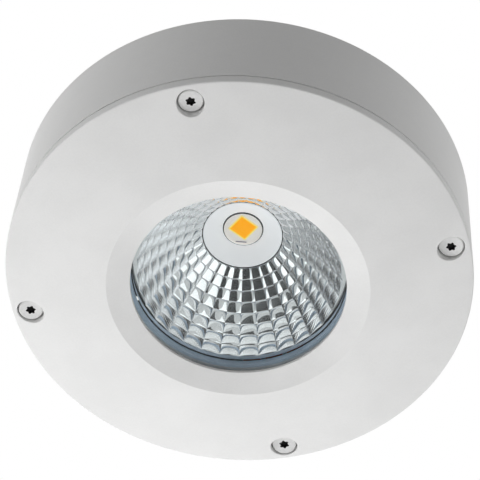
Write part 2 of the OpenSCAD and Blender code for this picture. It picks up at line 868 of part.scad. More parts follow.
// Smoothing capacitors on the circuit board
module driver_capacitors() {
    color("midnightblue")
        for (x = [capacitor_x, capacitor_x - capacitor_pitch])
            translate([x, driver_mid_y - 5, lid_z + part_gap])
                cylinder(r = capacitor_r, h = part_h);
}

// The two screws of the driver
module driver_screws() {
    color("silver")
        at_both_x(lug_x, lug_y)
            translate([0, 0, lug_z])
                screw(m3_head_r, m3_head_h, m3_r, m3_l, 1.1);
}

// Three-pole terminal block with a slot for each lever and a way through for each wire
module terminal_block() {
    color("lightgray")
        difference() {
            union() {
                translate([-block_w / 2, block_y, block_z])
                    cube([block_w, block_l, block_h]);
                translate([0, block_mid_y, lug_z])
                    linear_extrude(lug_t)
                        hull()
                            at_both_x(block_screw_x)
                                circle(foot_r, $fn = 32);
            }
            at_both_x(block_screw_x, block_mid_y)
                translate([0, 0, lug_z - 1])
                    cylinder(r = m3_r + through_gap, h = lug_t + 2);
            for (pole = [-1:1])
                translate([pole * pole_pitch, 0, 0]) {
                    translate([-lever_w / 2 - lever_gap, lever_slot_y, block_z - 1])
                        cube([lever_w + 2 * lever_gap, block_l, lever_slot_h + 1]);
                    translate([-contact_w / 2 - fit_gap, contact_y, wire_z - contact_h / 2])
                        cube([contact_w + 2 * fit_gap, contact_l + 2 * fit_gap, contact_h]);
                    translate([0, block_y + 6.5, wire_z])
                        rotate([90, 0, 0])
                            cylinder(r = wire_hole_r, h = 8);
                    translate([0, block_y + block_l + 1, wire_z])
                        rotate([90, 0, 0])
                            cylinder(r = core_hole_r, h = block_l - 6.5);
                }
            translate([-block_w / 2 + 0.6, pivot_y, pivot_z])
                rotate([0, 90, 0])
                    cylinder(r = pivot_r + running_gap, h = block_w - 1.2);
        }
}

// Lever of one pole: hub, pivot pins and a finger plate that lies flush with the block
module terminal_lever(pole) {
    pin_w = min(pole_pitch - 0.3, lever_w + 1.4);
    plate_up = pivot_z + 0.5;
    color("darkorange")
        translate([pole * pole_pitch, 0, 0])
            union() {
                translate([-lever_w / 2, pivot_y, pivot_z])
                    rotate([0, 90, 0])
                        cylinder(r = hub_r, h = lever_w);
                translate([-pin_w / 2, pivot_y, pivot_z])
                    rotate([0, 90, 0])
                        cylinder(r = pivot_r, h = pin_w);
                translate([-lever_w / 2, pivot_y, plate_up - lever_t])
                    cube([lever_w, lever_end_y - pivot_y, lever_t]);
                translate([0, lever_end_y - 1.5, plate_up - lever_t])
                    cube([lever_w, 3, 1.2], center = true);
            }
}

// Metal contacts inside the terminal block
module terminal_contacts() {
    color("goldenrod")
        for (pole = [-1:1])
            translate([pole * pole_pitch - contact_w / 2, contact_y + fit_gap, wire_z - contact_h / 2])
                cube([contact_w, contact_l, contact_h]);
}

// The two screws of the terminal block
module terminal_screws() {
    color("silver")
        at_both_x(block_screw_x, block_mid_y)
            translate([0, 0, lug_z])
                screw(m3_head_r, m3_head_h, m3_r, m3_l, 1.1);
}

// Insulated wires inside the lamp
module wire(route, shade) {
    color(shade)
        tube(smooth(route, 3), wire_r, 8);
}

// Ring terminal of the earth wire: an eye under the earth screw and a barrel on the wire
module earth_lug() {
    color("goldenrod")
        translate([earth_at[0], earth_at[1], 0])
            rotate(earth_turn)
                difference() {
                    union() {
                        translate([0, 0, earth_lug_z])
                            cylinder(r = earth_lug_r, h = earth_lug_t);
                        translate([0, -barrel_r * 0.7, earth_lug_z])
                            cube([barrel_from + 2, barrel_r * 1.4, earth_lug_t]);
                        translate([barrel_from, 0, barrel_z])
                            rotate([0, 90, 0])
                                cylinder(r = barrel_r, h = barrel_to - barrel_from);
                    }
                    translate([0, 0, earth_lug_z - 1])
                        cylinder(r = earth_screw_r + through_gap / 2, h = earth_lug_t + 2);
                    translate([barrel_from + 2, 0, barrel_z])
                        rotate([0, 90, 0])
                            cylinder(r = barrel_hole_r, h = barrel_to);
                }
}

// Earth screw, which clamps the ring terminal to its boss
module earth_screw() {
    color("silver")
        translate([earth_at[0], earth_at[1], earth_lug_z])
            screw(earth_head_r, earth_head_h, earth_screw_r, foot_h + back_wall - 1.5, 1.6);
}

// Outline of the rubber pieces in the cable entries, from the ceiling face inwards
function entry_outline(inner) = [
    [inner, 0], [entry_r - fit_gap, 0], [entry_r - fit_gap, back_z],
    [entry_r + entry_flange_w, back_z], [entry_r + entry_flange_w, back_z - entry_flange_t],
    [entry_r - entry_flange_w / 2, back_z - entry_nose_h / 2],
    [cable_r + entry_flange_w, back_z - entry_nose_h], [inner, back_z - entry_nose_h]
];

// Rubber grommet with the bore for the supply cable
module cable_grommet() {
    color("dimgray")
        translate([-entry_x, entry_y, 0])
            rotate_extrude()
                polygon(entry_outline(cable_r));
}

// Closed rubber plug in the spare cable entry
module blanking_plug() {
    color("dimgray")
        translate([entry_x, entry_y, 0])
            rotate_extrude()
                polygon(entry_outline(0));
}

// Rubber seals under the heads of the two ceiling screws
module slot_seals() {
    color("dimgray")
        at_both_x(fixing_x)
            translate([0, 0, back_z - slot_seal_t])
                linear_extrude(slot_seal_t)
                    difference() {
                        slot_2d(slot_r + slot_seal_w, slot_l + 2 * slot_seal_w);
                        slot_2d(slot_r, slot_l);
                    }
}

housing();
front_cover();
cover_seal();
cover_screw(0);  // cover_screw_1
cover_screw(1);  // cover_screw_2
cover_screw(2);  // cover_screw_3
cover_screw(3);  // cover_screw_4
lens();
lens_seal();
lens_clamp_ring();
clamp_ring_screws();
reflector();
led_holder();
led_holder_screws();
led_board();
led_phosphor();
thermal_pad();
driver_case();
driver_lid();
driver_circuit();
driver_transformer();
driver_capacitors();
driver_screws();
terminal_block();
terminal_lever(1);  // terminal_lever_live
terminal_lever(0);  // terminal_lever_neutral
terminal_lever(-1);  // terminal_lever_earth
terminal_contacts();
terminal_screws();
wire(live_route, "saddlebrown");  // live_wire
wire(neutral_route, "royalblue");  // neutral_wire
wire(earth_route, "yellowgreen");  // earth_wire
wire(led_positive_route, "firebrick");  // led_wire_positive
wire(led_negative_route, "black");  // led_wire_negative
earth_lug();
earth_screw();
cable_grommet();
blanking_plug();
slot_seals();
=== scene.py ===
"""Looks of a surface mounted outdoor downlight: a cast drum with a domed cover, a glass lens, a
faceted reflector and a square light source, with the driver, terminals and wires inside.

Lengths are millimetres in the row frame: the ceiling is at height 0 and the lamp hangs below it.
Only the mesh writer turns them into metres.
"""

import logging
from collections.abc import Callable, Sequence
from dataclasses import dataclass, field
from enum import Enum
from math import acos, atan2, cos, hypot, pi, radians, sin, sqrt, tan

import bpy
import numpy as np
from mathutils import Matrix, Vector
from mathutils.geometry import delaunay_2d_cdt


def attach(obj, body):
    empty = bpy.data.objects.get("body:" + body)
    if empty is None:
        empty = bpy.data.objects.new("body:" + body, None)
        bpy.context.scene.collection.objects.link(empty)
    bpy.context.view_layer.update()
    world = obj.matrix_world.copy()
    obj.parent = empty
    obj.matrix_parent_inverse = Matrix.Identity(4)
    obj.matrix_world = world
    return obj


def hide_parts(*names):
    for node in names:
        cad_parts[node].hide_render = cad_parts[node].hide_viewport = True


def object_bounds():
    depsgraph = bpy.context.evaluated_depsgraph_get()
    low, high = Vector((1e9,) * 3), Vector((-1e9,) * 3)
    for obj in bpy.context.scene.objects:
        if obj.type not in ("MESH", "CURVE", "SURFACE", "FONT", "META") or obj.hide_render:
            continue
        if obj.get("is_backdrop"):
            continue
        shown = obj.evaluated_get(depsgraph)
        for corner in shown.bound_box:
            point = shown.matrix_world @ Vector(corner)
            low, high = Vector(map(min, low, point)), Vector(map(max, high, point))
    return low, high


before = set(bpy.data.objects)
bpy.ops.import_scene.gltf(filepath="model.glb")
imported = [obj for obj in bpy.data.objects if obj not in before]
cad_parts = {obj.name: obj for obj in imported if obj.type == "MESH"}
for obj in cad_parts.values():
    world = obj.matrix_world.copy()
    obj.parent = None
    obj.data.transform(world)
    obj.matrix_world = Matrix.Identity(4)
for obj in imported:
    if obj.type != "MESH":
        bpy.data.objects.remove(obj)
CAD_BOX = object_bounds()

log = logging.getLogger("downlight")
Array = np.ndarray
Pair = tuple[float, float]
Triple = tuple[float, float, float]
Material = bpy.types.Material
Socket = bpy.types.NodeSocket
Sockets = dict[str, Socket]

# Metres in a millimetre, and the distance in millimetres below which points are one.
MM = 0.001
WELD = 1e-4
# Steps round a large, a middling and a small circle.
FINE = 192
MEDIUM = 96
SMALL = 64
MIDDLE = (0.0, 0.0)
# Radius of the circle of cover screws, and the turn and half width of the lit square.
SCREW_CIRCLE = 73.5
LIT_TURN = 51.5
LIT_HALF = 3.55
WHITE = (1.0, 1.0, 1.0, 1.0)


class Body(Enum):
    """Bodies of the model that pieces ride on."""

    LAMP = "lamp"
    COVER = "cover"
    SCREW_1 = "screw_1"
    SCREW_2 = "screw_2"
    SCREW_3 = "screw_3"
    SCREW_4 = "screw_4"
    LEVER_LIVE = "lever_live"
    LEVER_NEUTRAL = "lever_neutral"
    LEVER_EARTH = "lever_earth"


class Facing(Enum):
    """Which way a flat sheet faces."""

    UP = 1.0
    DOWN = -1.0


def unit(v: Array) -> Array:
    """Vectors along the last axis, each divided by its length."""
    return v / np.maximum(np.linalg.norm(v, axis=-1, keepdims=True), 1e-12)


def linear(red: float, green: float, blue: float) -> tuple[float, float, float, float]:
    """A screen's red, green and blue, 0 to 255, as linear values with an alpha of one."""
    shown = np.array([red, green, blue]) / 255
    return (*np.where(shown <= 0.04045, shown / 12.92, ((shown + 0.055) / 1.055) ** 2.4).tolist(), 1.0)


def spin(degrees: float) -> Array:
    """Matrix that turns rows about the upright axis, after them in a product."""
    a = radians(degrees)
    return np.array([[cos(a), sin(a), 0], [-sin(a), cos(a), 0], [0, 0, 1]])


@dataclass(frozen=True)
class Patch:
    """Part of a surface: points, a normal at each, and faces of four corners.

    A face of three corners repeats its last one.
    """

    points: Array
    normals: Array
    faces: Array
    finish: int = 0

    def turned(self, degrees: float) -> "Patch":
        """The patch turned about the lamp's axis."""
        turn = spin(degrees)
        return Patch(self.points @ turn, self.normals @ turn, self.faces, self.finish)

    def moved(self, x: float, y: float, z: float = 0.0) -> "Patch":
        """The patch moved by a distance along each axis."""
        return Patch(self.points + np.array([x, y, z]), self.normals, self.faces, self.finish)

    def flipped(self) -> "Patch":
        """The patch mirrored at height 0, still facing outwards."""
        mirror = np.array([1.0, 1.0, -1.0])
        return Patch(self.points * mirror, self.normals * mirror, self.faces[:, ::-1], self.finish)


@dataclass(frozen=True)
class Profile:
    """Points of a section as (distance, height), and the outward normal at each."""

    at: Array
    out: Array


@dataclass(frozen=True)
class Loop:
    """Closed outline, anticlockwise: base points, and the outward direction at each."""

    base: Array
    out: Array

    def at(self, distance: float) -> Array:
        """Points of the outline a distance outside its base points."""
        return self.base + distance * self.out


def rounded(corners: Sequence[Triple], steps: int = 5) -> Profile:
    """Straight runs between corners that are rounded by arcs.

    The outside lies left of the way along. An arc's points are its centre plus or minus the
    radius times the normal, while the normal turns from one run's to the next. A corner of
    radius 0 holds its point twice, once with each run's normal.

    Args:
        corners: Distance, height and radius of each corner.
        steps: Steps in each arc.

    Returns:
        The profile.
    """
    spot = np.array([c[:2] for c in corners], float)
    way = unit(np.diff(spot, axis=0))
    side = np.stack([-way[:, 1], way[:, 0]], 1)
    at, out = [spot[:1]], [side[:1]]
    for k in range(1, len(spot) - 1):
        before, after, radius = side[k - 1], side[k], corners[k][2]
        turn = atan2(before[0] * after[1] - before[1] * after[0], float(before @ after))
        convex = -1.0 if turn > 0 else 1.0
        start = spot[k] - radius * tan(abs(turn) / 2) * way[k - 1]
        angle = atan2(before[1], before[0]) + turn * np.linspace(0, 1, steps + 1 if radius else 2)
        normal = np.stack([np.cos(angle), np.sin(angle)], 1)
        at.append(start - convex * radius * before + convex * radius * normal)
        out.append(normal)
    at.append(spot[-1:])
    out.append(side[-1:])
    return Profile(np.vstack(at), np.vstack(out))


def ring_loop(count: int = FINE, centre: Pair = MIDDLE) -> Loop:
    """Outline round a point, so that a profile's distance is a radius."""
    a = np.arange(count) * 2 * pi / count
    return Loop(np.tile(np.array(centre, float), (count, 1)), np.stack([np.cos(a), np.sin(a)], 1))


def corner_loop(half_x: float, half_y: float, centre: Pair = MIDDLE, steps: int = 6) -> Loop:
    """Outline with a quarter round at each corner of a rectangle.

    The base is the four corners, each repeated while the direction turns by a right angle, so
    a profile's distance is the corners' radius.

    Args:
        half_x: Half the rectangle's length along X.
        half_y: Half its length along Y.
        centre: Middle of the rectangle.
        steps: Steps in each corner.

    Returns:
        The outline.
    """
    quarter = np.linspace(0, pi / 2, steps + 1)
    a = (quarter + np.arange(4)[:, None] * pi / 2).ravel()
    sign = np.repeat(np.array([[1, 1], [-1, 1], [-1, -1], [1, -1]]), steps + 1, axis=0)
    return Loop(np.array(centre) + sign * np.array([half_x, half_y]), np.stack([np.cos(a), np.sin(a)], 1))


def grid(points: Array, normals: Array, wrap: bool = False, finish: int = 0) -> Patch:
    """Faces between neighbours on a grid of points.

    Args:
        points: Points, rows by columns by 3.
        normals: Normals, likewise.
        wrap: True if the last column joins the first.
        finish: Index of the material.

    Returns:
        The patch.
    """
    rows, cols = points.shape[:2]
    i = np.arange(rows - 1)[:, None] * cols
    j = np.arange(cols if wrap else cols - 1)
    k = (j + 1) % cols
    faces = np.stack([i + j, i + cols + j, i + cols + k, i + k], -1)
    return Patch(points.reshape(-1, 3), normals.reshape(-1, 3), faces.reshape(-1, 4), finish)


def carry(profile: Profile, loop: Loop, finish: int = 0) -> Patch:
    """A profile carried round a closed outline.

    Each point is the outline's base plus the profile's distance times the outward direction,
    at the profile's height.

    Args:
        profile: The section.
        loop: The outline.
        finish: Index of the material.

    Returns:
        The patch.
    """
    def spread(pairs: Array, base: Array) -> Array:
        flat = base + pairs[:, None, :1] * loop.out
        return np.concatenate([flat, np.broadcast_to(pairs[:, None, 1:], (*flat.shape[:2], 1))], -1)

    return grid(spread(profile.at, loop.base), spread(profile.out, 0 * loop.base), True, finish)


def band(corners: Sequence[Triple], loop: Loop, finish: int = 0) -> Patch:
    """A rounded profile carried round an outline: distance, height and rounding of each corner."""
    return carry(rounded(corners), loop, finish)


def lathe(corners: Sequence[Triple], centre: Pair = MIDDLE, count: int = FINE, finish: int = 0) -> Patch:
    """A profile turned about an upright axis: radius, height and rounding of each corner."""
    return band(corners, ring_loop(count, centre), finish)


def level(flat: Array, height: float) -> Array:
    """Flat points, or flat directions, with one height to all of them."""
    return np.concatenate([flat, np.full((*flat.shape[:-1], 1), height)], -1)


def strip(near: Array, far: Array, out: Array, finish: int = 0) -> Patch:
    """Faces between two closed rows of points, with normals for each row or for both."""
    rows = np.stack([near, far])
    return grid(rows, np.broadcast_to(out, rows.shape), True, finish)


def quarters(radius: float, first: float = 0.0) -> list[Pair]:
    """Four places round the axis a quarter turn apart, the first at a share of a quarter."""
    return [(radius * cos(a), radius * sin(a)) for a in (np.arange(4) + first) * pi / 2]


def both_sides(x: float, y: float) -> list[Pair]:
    """Two places that mirror each other across the middle."""
    return [(x, y), (-x, y)]


def surface(shape: Callable[[Array, Array], Array], u: Array, v: Array) -> Patch:
    """Grid of a shape that is a formula of two parameters.

    A normal is the cross product of the shape's slopes along both parameters, each taken
    between two points a small step apart.

    Args:
        shape: Function from two arrays of parameters to points.
        u: Values of the first parameter, one to a row.
        v: Values of the second parameter, one to a column.

    Returns:
        The patch.
    """
    a, b = np.meshgrid(u, v, indexing="ij")
    step = 1e-4
    along = shape(a + step, b) - shape(a - step, b)
    across = shape(a, b + step) - shape(a, b - step)
    return grid(shape(a, b), unit(np.cross(along, across)))


def inside(points: Array, outline: Array) -> Array:
    """Which points lie inside an outline.

    A point is inside when a ray along X from it crosses the outline an odd number of times.

    Args:
        points: Points, n by 2.
        outline: Corners of the outline, m by 2.

    Returns:
        A mask of n values.
    """
    a, b = outline, np.roll(outline, -1, axis=0)
    x, y = points[:, None, 0], points[:, None, 1]
    spans = (a[:, 1] > y) != (b[:, 1] > y)
    rise = np.where(b[:, 1] == a[:, 1], 1.0, b[:, 1] - a[:, 1])
    cross = a[:, 0] + (y - a[:, 1]) * (b[:, 0] - a[:, 0]) / rise
    return (spans & (x < cross)).sum(1) % 2 == 1


def sheet(outer: Array, holes: Sequence[Array], height: float | Callable[[Array], tuple[Array, Array]],
          facing: Facing, extra: Array | None = None, finish: int = 0) -> Patch:
    """A sheet with holes: cut flat into triangles, then lifted to its height.

    Args:
        outer: Outline of the sheet, n by 2.
        holes: Outlines of its holes.
        height: Height of a flat sheet, or a function from flat points to heights and normals.
        facing: Which way the sheet faces.
        extra: More points inside the sheet, for a curved one.
        finish: Index of the material.

    Returns:
        The patch.
    """
    outlines = [outer, *holes]
    start = np.cumsum([0] + [len(o) for o in outlines])
    edges = [(int(s + k), int(s + (k + 1) % len(o)))
             for s, o in zip(start, outlines) for k in range(len(o))]
    flat = np.vstack(outlines if extra is None else [*outlines, extra])
    corners, _, triangles, origins, _, _ = delaunay_2d_cdt([Vector(p) for p in flat], edges, [], 0, 1e-7)
    source = np.array([o[0] for o in origins])
    faces = source[np.array([list(t) for t in triangles])]
    middle = flat[faces].mean(1)
    keep = inside(middle, outer)
    for hole in holes:
        keep &= ~inside(middle, hole)
    faces = faces[keep]
    a, b, c = (flat[faces[:, k]] for k in range(3))
    area = (b[:, 0] - a[:, 0]) * (c[:, 1] - a[:, 1]) - (b[:, 1] - a[:, 1]) * (c[:, 0] - a[:, 0])
    faces = np.where((area * facing.value < 0)[:, None], faces[:, ::-1], faces)
    if callable(height):
        z, normals = height(flat)
    else:
        z, normals = np.full(len(flat), height), np.tile([0.0, 0.0, facing.value], (len(flat), 1))
    return Patch(np.column_stack([flat, z]), normals, faces[:, [0, 1, 2, 2]], finish)


def disc(loop: Loop, distance: float, height: float, facing: Facing, finish: int = 0) -> Patch:
    """Flat face that closes an outline, as spokes from its middle.

    Args:
        loop: The outline.
        distance: Distance of the face's edge outside the outline's base.
        height: Height of the face.
        facing: Which way it faces.
        finish: Index of the material.

    Returns:
        The patch.
    """
    edge = loop.at(distance)
    middle = np.tile(loop.base.mean(0), (len(edge), 1))
    patch = strip(level(middle, height), level(edge, height), np.array([0.0, 0.0, facing.value]), finish)
    faces = patch.faces[:, ::-1] if facing is Facing.DOWN else patch.faces
    return Patch(patch.points, patch.normals, faces, finish)


def box(low: Sequence[float], high: Sequence[float], radius: float, finish: int = 0,
        corner: float | None = None) -> list[Patch]:
    """A block with rounded edges.

    Its upright edges have one radius and the edges of its top and bottom another: a rounded
    profile is carried round the block's rounded outline, and two flat faces close it.

    Args:
        low: Lowest corner.
        high: Highest corner.
        radius: Radius of the edges of top and bottom.
        finish: Index of the material.
        corner: Radius of the upright edges, if it is another.

    Returns:
        The patches.
    """
    corner = max(corner or radius, radius)
    half = (np.array(high[:2]) - np.array(low[:2])) / 2 - corner
    centre = (np.array(high[:2]) + np.array(low[:2])) / 2
    loop = corner_loop(half[0], half[1], (centre[0], centre[1]))
    inset = corner - radius
    wall = rounded([(inset, high[2], 0), (corner, high[2], radius), (corner, low[2], radius),
                    (inset, low[2], 0)], 4)
    return [carry(wall, loop, finish), disc(loop, inset, high[2], Facing.UP, finish),
            disc(loop, inset, low[2], Facing.DOWN, finish)]


def spline(route: Array, steps: int) -> Array:
    """Points of a smooth curve that passes through a route's points.

    Between two points the curve is the cubic whose slope at each is half the way from the
    point before it to the point after it.

    Args:
        route: Points of the route.
        steps: Steps to each stretch.

    Returns:
        Points along the curve.
    """
    padded = np.vstack([route[:1], route, route[-1:]])
    a, b, c, d = (padded[k:len(padded) - 3 + k, None, :] for k in range(4))
    t = (np.arange(steps) / steps)[:, None]
    curve = 0.5 * (2 * b + (c - a) * t + (2 * a - 5 * b + 4 * c - d) * t**2
                   + (3 * b - a - 3 * c + d) * t**3)
    return np.vstack([curve.reshape(-1, 3), route[-1:]])


def tube(path: Array, radius: float) -> Patch:
    """A round tube along a path that climbs little, closed at both ends.

    Each ring's points are the path's point plus the radius times a direction that turns from
    the level side of the path to its upper side. The ends close to a point over a small round.

    Args:
        path: Points of the tube's middle.
        radius: Radius of the tube.

    Returns:
        The patch.
    """
    way = unit(np.gradient(path, axis=0))
    bend = np.linspace(0, pi / 2, 4)[:-1]
    nose = 0.25 * radius
    lead = np.concatenate([[-1.0], -np.cos(bend), np.zeros(len(path) - 2), np.cos(bend)[::-1], [1.0]])
    share = np.concatenate([[0.0], 0.75 + 0.25 * np.sin(bend), np.ones(len(path) - 2),
                            0.75 + 0.25 * np.sin(bend)[::-1], [0.0]])
    pick = np.concatenate([np.zeros(4, int), np.arange(1, len(path) - 1), np.full(4, len(path) - 1)])
    middle = path[pick] + way[pick] * nose * (lead - np.sign(lead))[:, None]
    side = unit(np.cross(way[pick], [0.0, 0.0, 1.0]))
    up = np.cross(side, way[pick])
    sides = 20
    a = np.arange(sides) * 2 * pi / sides
    out = np.cos(a)[:, None] * side[:, None] + np.sin(a)[:, None] * up[:, None]
    points = middle[:, None] + radius * share[:, None, None] * out
    tilt = np.sign(lead)[:, None] * np.abs(lead)[:, None] * way[pick]
    normals = unit(out * (1 - np.abs(lead))[:, None, None] + tilt[:, None])
    return grid(points, normals, True)


def placed(name: str, data: bpy.types.ID) -> bpy.types.Object:
    """A new object of the scene.

    Args:
        name: Its name.
        data: Its mesh, lamp or camera.

    Returns:
        The object.
    """
    made = bpy.data.objects.new(name, data)
    bpy.context.scene.collection.objects.link(made)
    return made


class Wires:
    """A node tree that is being wired, with short ways to add nodes and link them."""

    def __init__(self, tree: bpy.types.NodeTree) -> None:
        """Keeps the tree and empties it."""
        self.tree = tree
        tree.nodes.clear()

    def add(self, kind: str, settings: dict[str, object] | None = None,
            **inputs: object) -> bpy.types.Node:
        """Adds a node.

        Args:
            kind: Blender's name of the node type, without its leading ShaderNode.
            settings: Properties of the node.
            inputs: Values or sockets for its inputs, by name with _ for a space, or by
                place as in0, in1.

        Returns:
            The node.
        """
        node = self.tree.nodes.new("ShaderNode" + kind if not kind.startswith("Node") else kind)
        for name, value in (settings or {}).items():
            setattr(node, name, value)
        for name, value in inputs.items():
            place = int(name[2:]) if name[:2] == "in" and name[2:].isdigit() else name.replace("_", " ")
            self.feed(node.inputs[place], value)
        return node

    def feed(self, socket: Socket, value: object) -> None:
        """Links a socket to a socket, or sets its value."""
        if isinstance(value, Socket):
            self.tree.links.new(value, socket)
        else:
            socket.default_value = value

    def maths(self, operation: str, a: object, b: object = 0.0, c: object = 0.0) -> Socket:
        """Result of a Math node with up to three values or sockets."""
        return self.add("Math", {"operation": operation}, in0=a, in1=b, in2=c).outputs[0]

    def blend(self, share: object, a: object, b: object) -> Socket:
        """Colour between two colours.

        Args:
            share: Share of the second colour.
            a: First colour or socket.
            b: Second one.

        Returns:
            The output socket.
        """
        node = self.add("Mix", {"data_type": "RGBA"})
        for place, value in ((0, share), (6, a), (7, b)):
            self.feed(node.inputs[place], value)
        return node.outputs[2]

    def ramp(self, value: object, low: float, high: float, out_low: float = 0.0,
             out_high: float = 1.0) -> Socket:
        """Value carried smoothly from one range to another, by default 0 to 1."""
        return self.add("MapRange", {"interpolation_type": "SMOOTHSTEP"}, in0=value, in1=low, in2=high,
                        in3=out_low, in4=out_high).outputs[0]

    def shades(self, tone: Socket, span: Pair, colour: Triple, shade: float) -> Socket:
        """A colour that runs from its shade to itself while a tone runs through its span."""
        dim = linear(*(c * shade for c in colour))
        return self.blend(self.ramp(tone, *span), dim, linear(*colour))

    def bump(self, height: Socket, depth: float, strength: float) -> Socket:
        """Normals of a height whose full depth is in millimetres."""
        return self.add("Bump", Strength=strength, Distance=depth * MM, Height=height).outputs[0]

    def rays(self, *kinds: str) -> Socket:
        """One for rays of these kinds, and otherwise zero."""
        path = self.add("LightPath").outputs
        share = path[f"Is {kinds[0]} Ray"]
        for kind in kinds[1:]:
            share = self.maths("MAXIMUM", share, path[f"Is {kind} Ray"])
        return share

    def surface(self, base: Socket, rough: Socket | float, bumps: Socket, **more: object) -> bpy.types.Node:
        """Adds the surface shader with its colour, roughness, normals and more of its inputs."""
        return self.add("BsdfPrincipled", Base_Color=base, Roughness=rough, Normal=bumps, **more)


def painted(name: str, wire: Callable[[Wires], Socket]) -> Material:
    """A new material.

    Args:
        name: Its name.
        wire: Function that wires its surface.

    Returns:
        The material.
    """
    made = bpy.data.materials.new(name)
    made.use_nodes = True
    wires = Wires(made.node_tree)
    wires.add("OutputMaterial", Surface=wire(wires))
    return made


class Effect:
    """A shader node group that several finishes use, with named inputs and outputs."""

    name = ""
    inputs: dict[str, float] = {}
    outputs: tuple[str, ...] = ()
    built: dict[str, bpy.types.NodeTree] = {}

    def group(self) -> bpy.types.NodeTree:
        """The effect's node group, built at its first use.

        Returns:
            The node group.
        """
        if self.name not in Effect.built:
            tree = bpy.data.node_groups.new(self.name, "ShaderNodeTree")
            wires = Wires(tree)
            for name, value in self.inputs.items():
                socket = tree.interface.new_socket(name, in_out="INPUT", socket_type="NodeSocketFloat")
                socket.default_value = value
            for name in self.outputs:
                tree.interface.new_socket(name, in_out="OUTPUT", socket_type="NodeSocketFloat")
            entry = wires.add("NodeGroupInput")
            made = self.wire(wires, {name: entry.outputs[name] for name in self.inputs})
            exit_node = wires.add("NodeGroupOutput")
            for name in self.outputs:
                wires.feed(exit_node.inputs[name], made[name])
            Effect.built[self.name] = tree
        return Effect.built[self.name]

    def wire(self, wires: Wires, given: Sockets) -> Sockets:
        """Wires the group from its given inputs to its outputs, as each effect says."""
        raise NotImplementedError

    def use(self, wires: Wires, **values: object) -> Sockets:
        """Places the effect in a material, and returns its output sockets by name."""
        node = wires.add("Group", {"node_tree": self.group()}, **values)
        return {name: node.outputs[name] for name in self.outputs}


class CoatGrain(Effect):
    """Fine pebbled skin of powder coat, cast metal or moulded plastic.

    Height is a coarse noise plus a finer one. Tone and Gloss follow a slow noise and the
    pebbles a little.
    """

    name = "coat_grain"
    inputs = {"Scale": 1400.0, "Fine": 0.4, "Cloud Scale": 45.0}
    outputs = ("Height", "Tone", "Gloss")

    def wire(self, wires: Wires, given: Sockets) -> Sockets:
        """Wires the pebbles and the clouds, as the class says."""
        place = wires.add("TexCoord").outputs["Object"]
        coarse = wires.add("TexNoise", Vector=place, Scale=given["Scale"], Detail=1.0, Roughness=0.5)
        finer = wires.maths("MULTIPLY", given["Scale"], 2.7)
        fine = wires.add("TexNoise", Vector=place, Scale=finer, Detail=1.0, Roughness=0.5)
        cloud = wires.add("TexNoise", Vector=place, Scale=given["Cloud Scale"], Detail=3.0, Roughness=0.55)
        height = wires.maths("MULTIPLY_ADD", fine.outputs[0], given["Fine"], coarse.outputs[0])
        tone = wires.maths("MULTIPLY_ADD", wires.maths("SUBTRACT", coarse.outputs[0], 0.5), 0.35,
                           cloud.outputs[0])
        return {"Height": height, "Tone": tone, "Gloss": cloud.outputs[0]}


class Scratches(Effect):
    """Hairlines and handling marks on metal or plastic.

    A hairline is where a noise stretched along one axis crosses its middle value.
    """

    name = "scratches"
    inputs = {"Scale": 60.0, "Stretch": 14.0, "Width": 0.02}
    outputs = ("Lines", "Height")

    def wire(self, wires: Wires, given: Sockets) -> Sockets:
        """Wires two crossed sets of hairlines, as the class says."""
        place = wires.add("TexCoord").outputs["Object"]
        sets = []
        for turn in (0.5, 1.9):
            turned = wires.add("Mapping", Vector=place, Rotation=(0.3, 0.2, turn)).outputs[0]
            parts = wires.add("SeparateXYZ", Vector=turned)
            long = wires.maths("MULTIPLY", parts.outputs[0], given["Stretch"])
            spot = wires.add("CombineXYZ", X=long, Y=parts.outputs[1], Z=parts.outputs[2]).outputs[0]
            noise = wires.add("TexNoise", Vector=spot, Scale=given["Scale"], Detail=2.0, Roughness=0.6)
            off = wires.maths("ABSOLUTE", wires.maths("SUBTRACT", noise.outputs[0], 0.5))
            sets.append(wires.maths("SUBTRACT", 1.0, wires.maths("SMOOTH_MIN", wires.maths(
                "DIVIDE", off, given["Width"]), 1.0, 0.1)))
        lines = wires.maths("MAXIMUM", sets[0], sets[1])
        return {"Lines": lines, "Height": wires.maths("MULTIPLY", lines, -1.0)}


class TurnedRings(Effect):
    """Fine rings that a lathe or a spinning tool leaves round the lamp's axis or a screw's.

    The rings are a noise of the distance from the axis alone.
    """

    name = "turned_rings"
    inputs = {"Centre X": 0.0, "Centre Y": 0.0, "Scale": 3000.0}
    outputs = ("Rings",)

    def wire(self, wires: Wires, given: Sockets) -> Sockets:
        """Wires the noise of the distance from the axis."""
        parts = wires.add("SeparateXYZ", Vector=wires.add("TexCoord").outputs["Object"])
        x = wires.maths("SUBTRACT", parts.outputs[0], given["Centre X"])
        y = wires.maths("SUBTRACT", parts.outputs[1], given["Centre Y"])
        away = wires.maths("SQRT", wires.maths("ADD", wires.maths("MULTIPLY", x, x),
                                               wires.maths("MULTIPLY", y, y)))
        noise = wires.add("TexNoise", {"noise_dimensions": "1D"}, W=away, Scale=given["Scale"],
                          Detail=2.0, Roughness=0.6)
        return {"Rings": noise.outputs[0]}


GRAIN, SCRATCHES, RINGS = CoatGrain(), Scratches(), TurnedRings()


class Look:
    """A kind of surface, which names itself and wires its own shader."""

    name: str

    def wire(self, wires: Wires) -> Socket:
        """Wires the surface, as each look says."""
        raise NotImplementedError

    def material(self) -> Material:
        """A new material with this look."""
        return painted(self.name, self.wire)


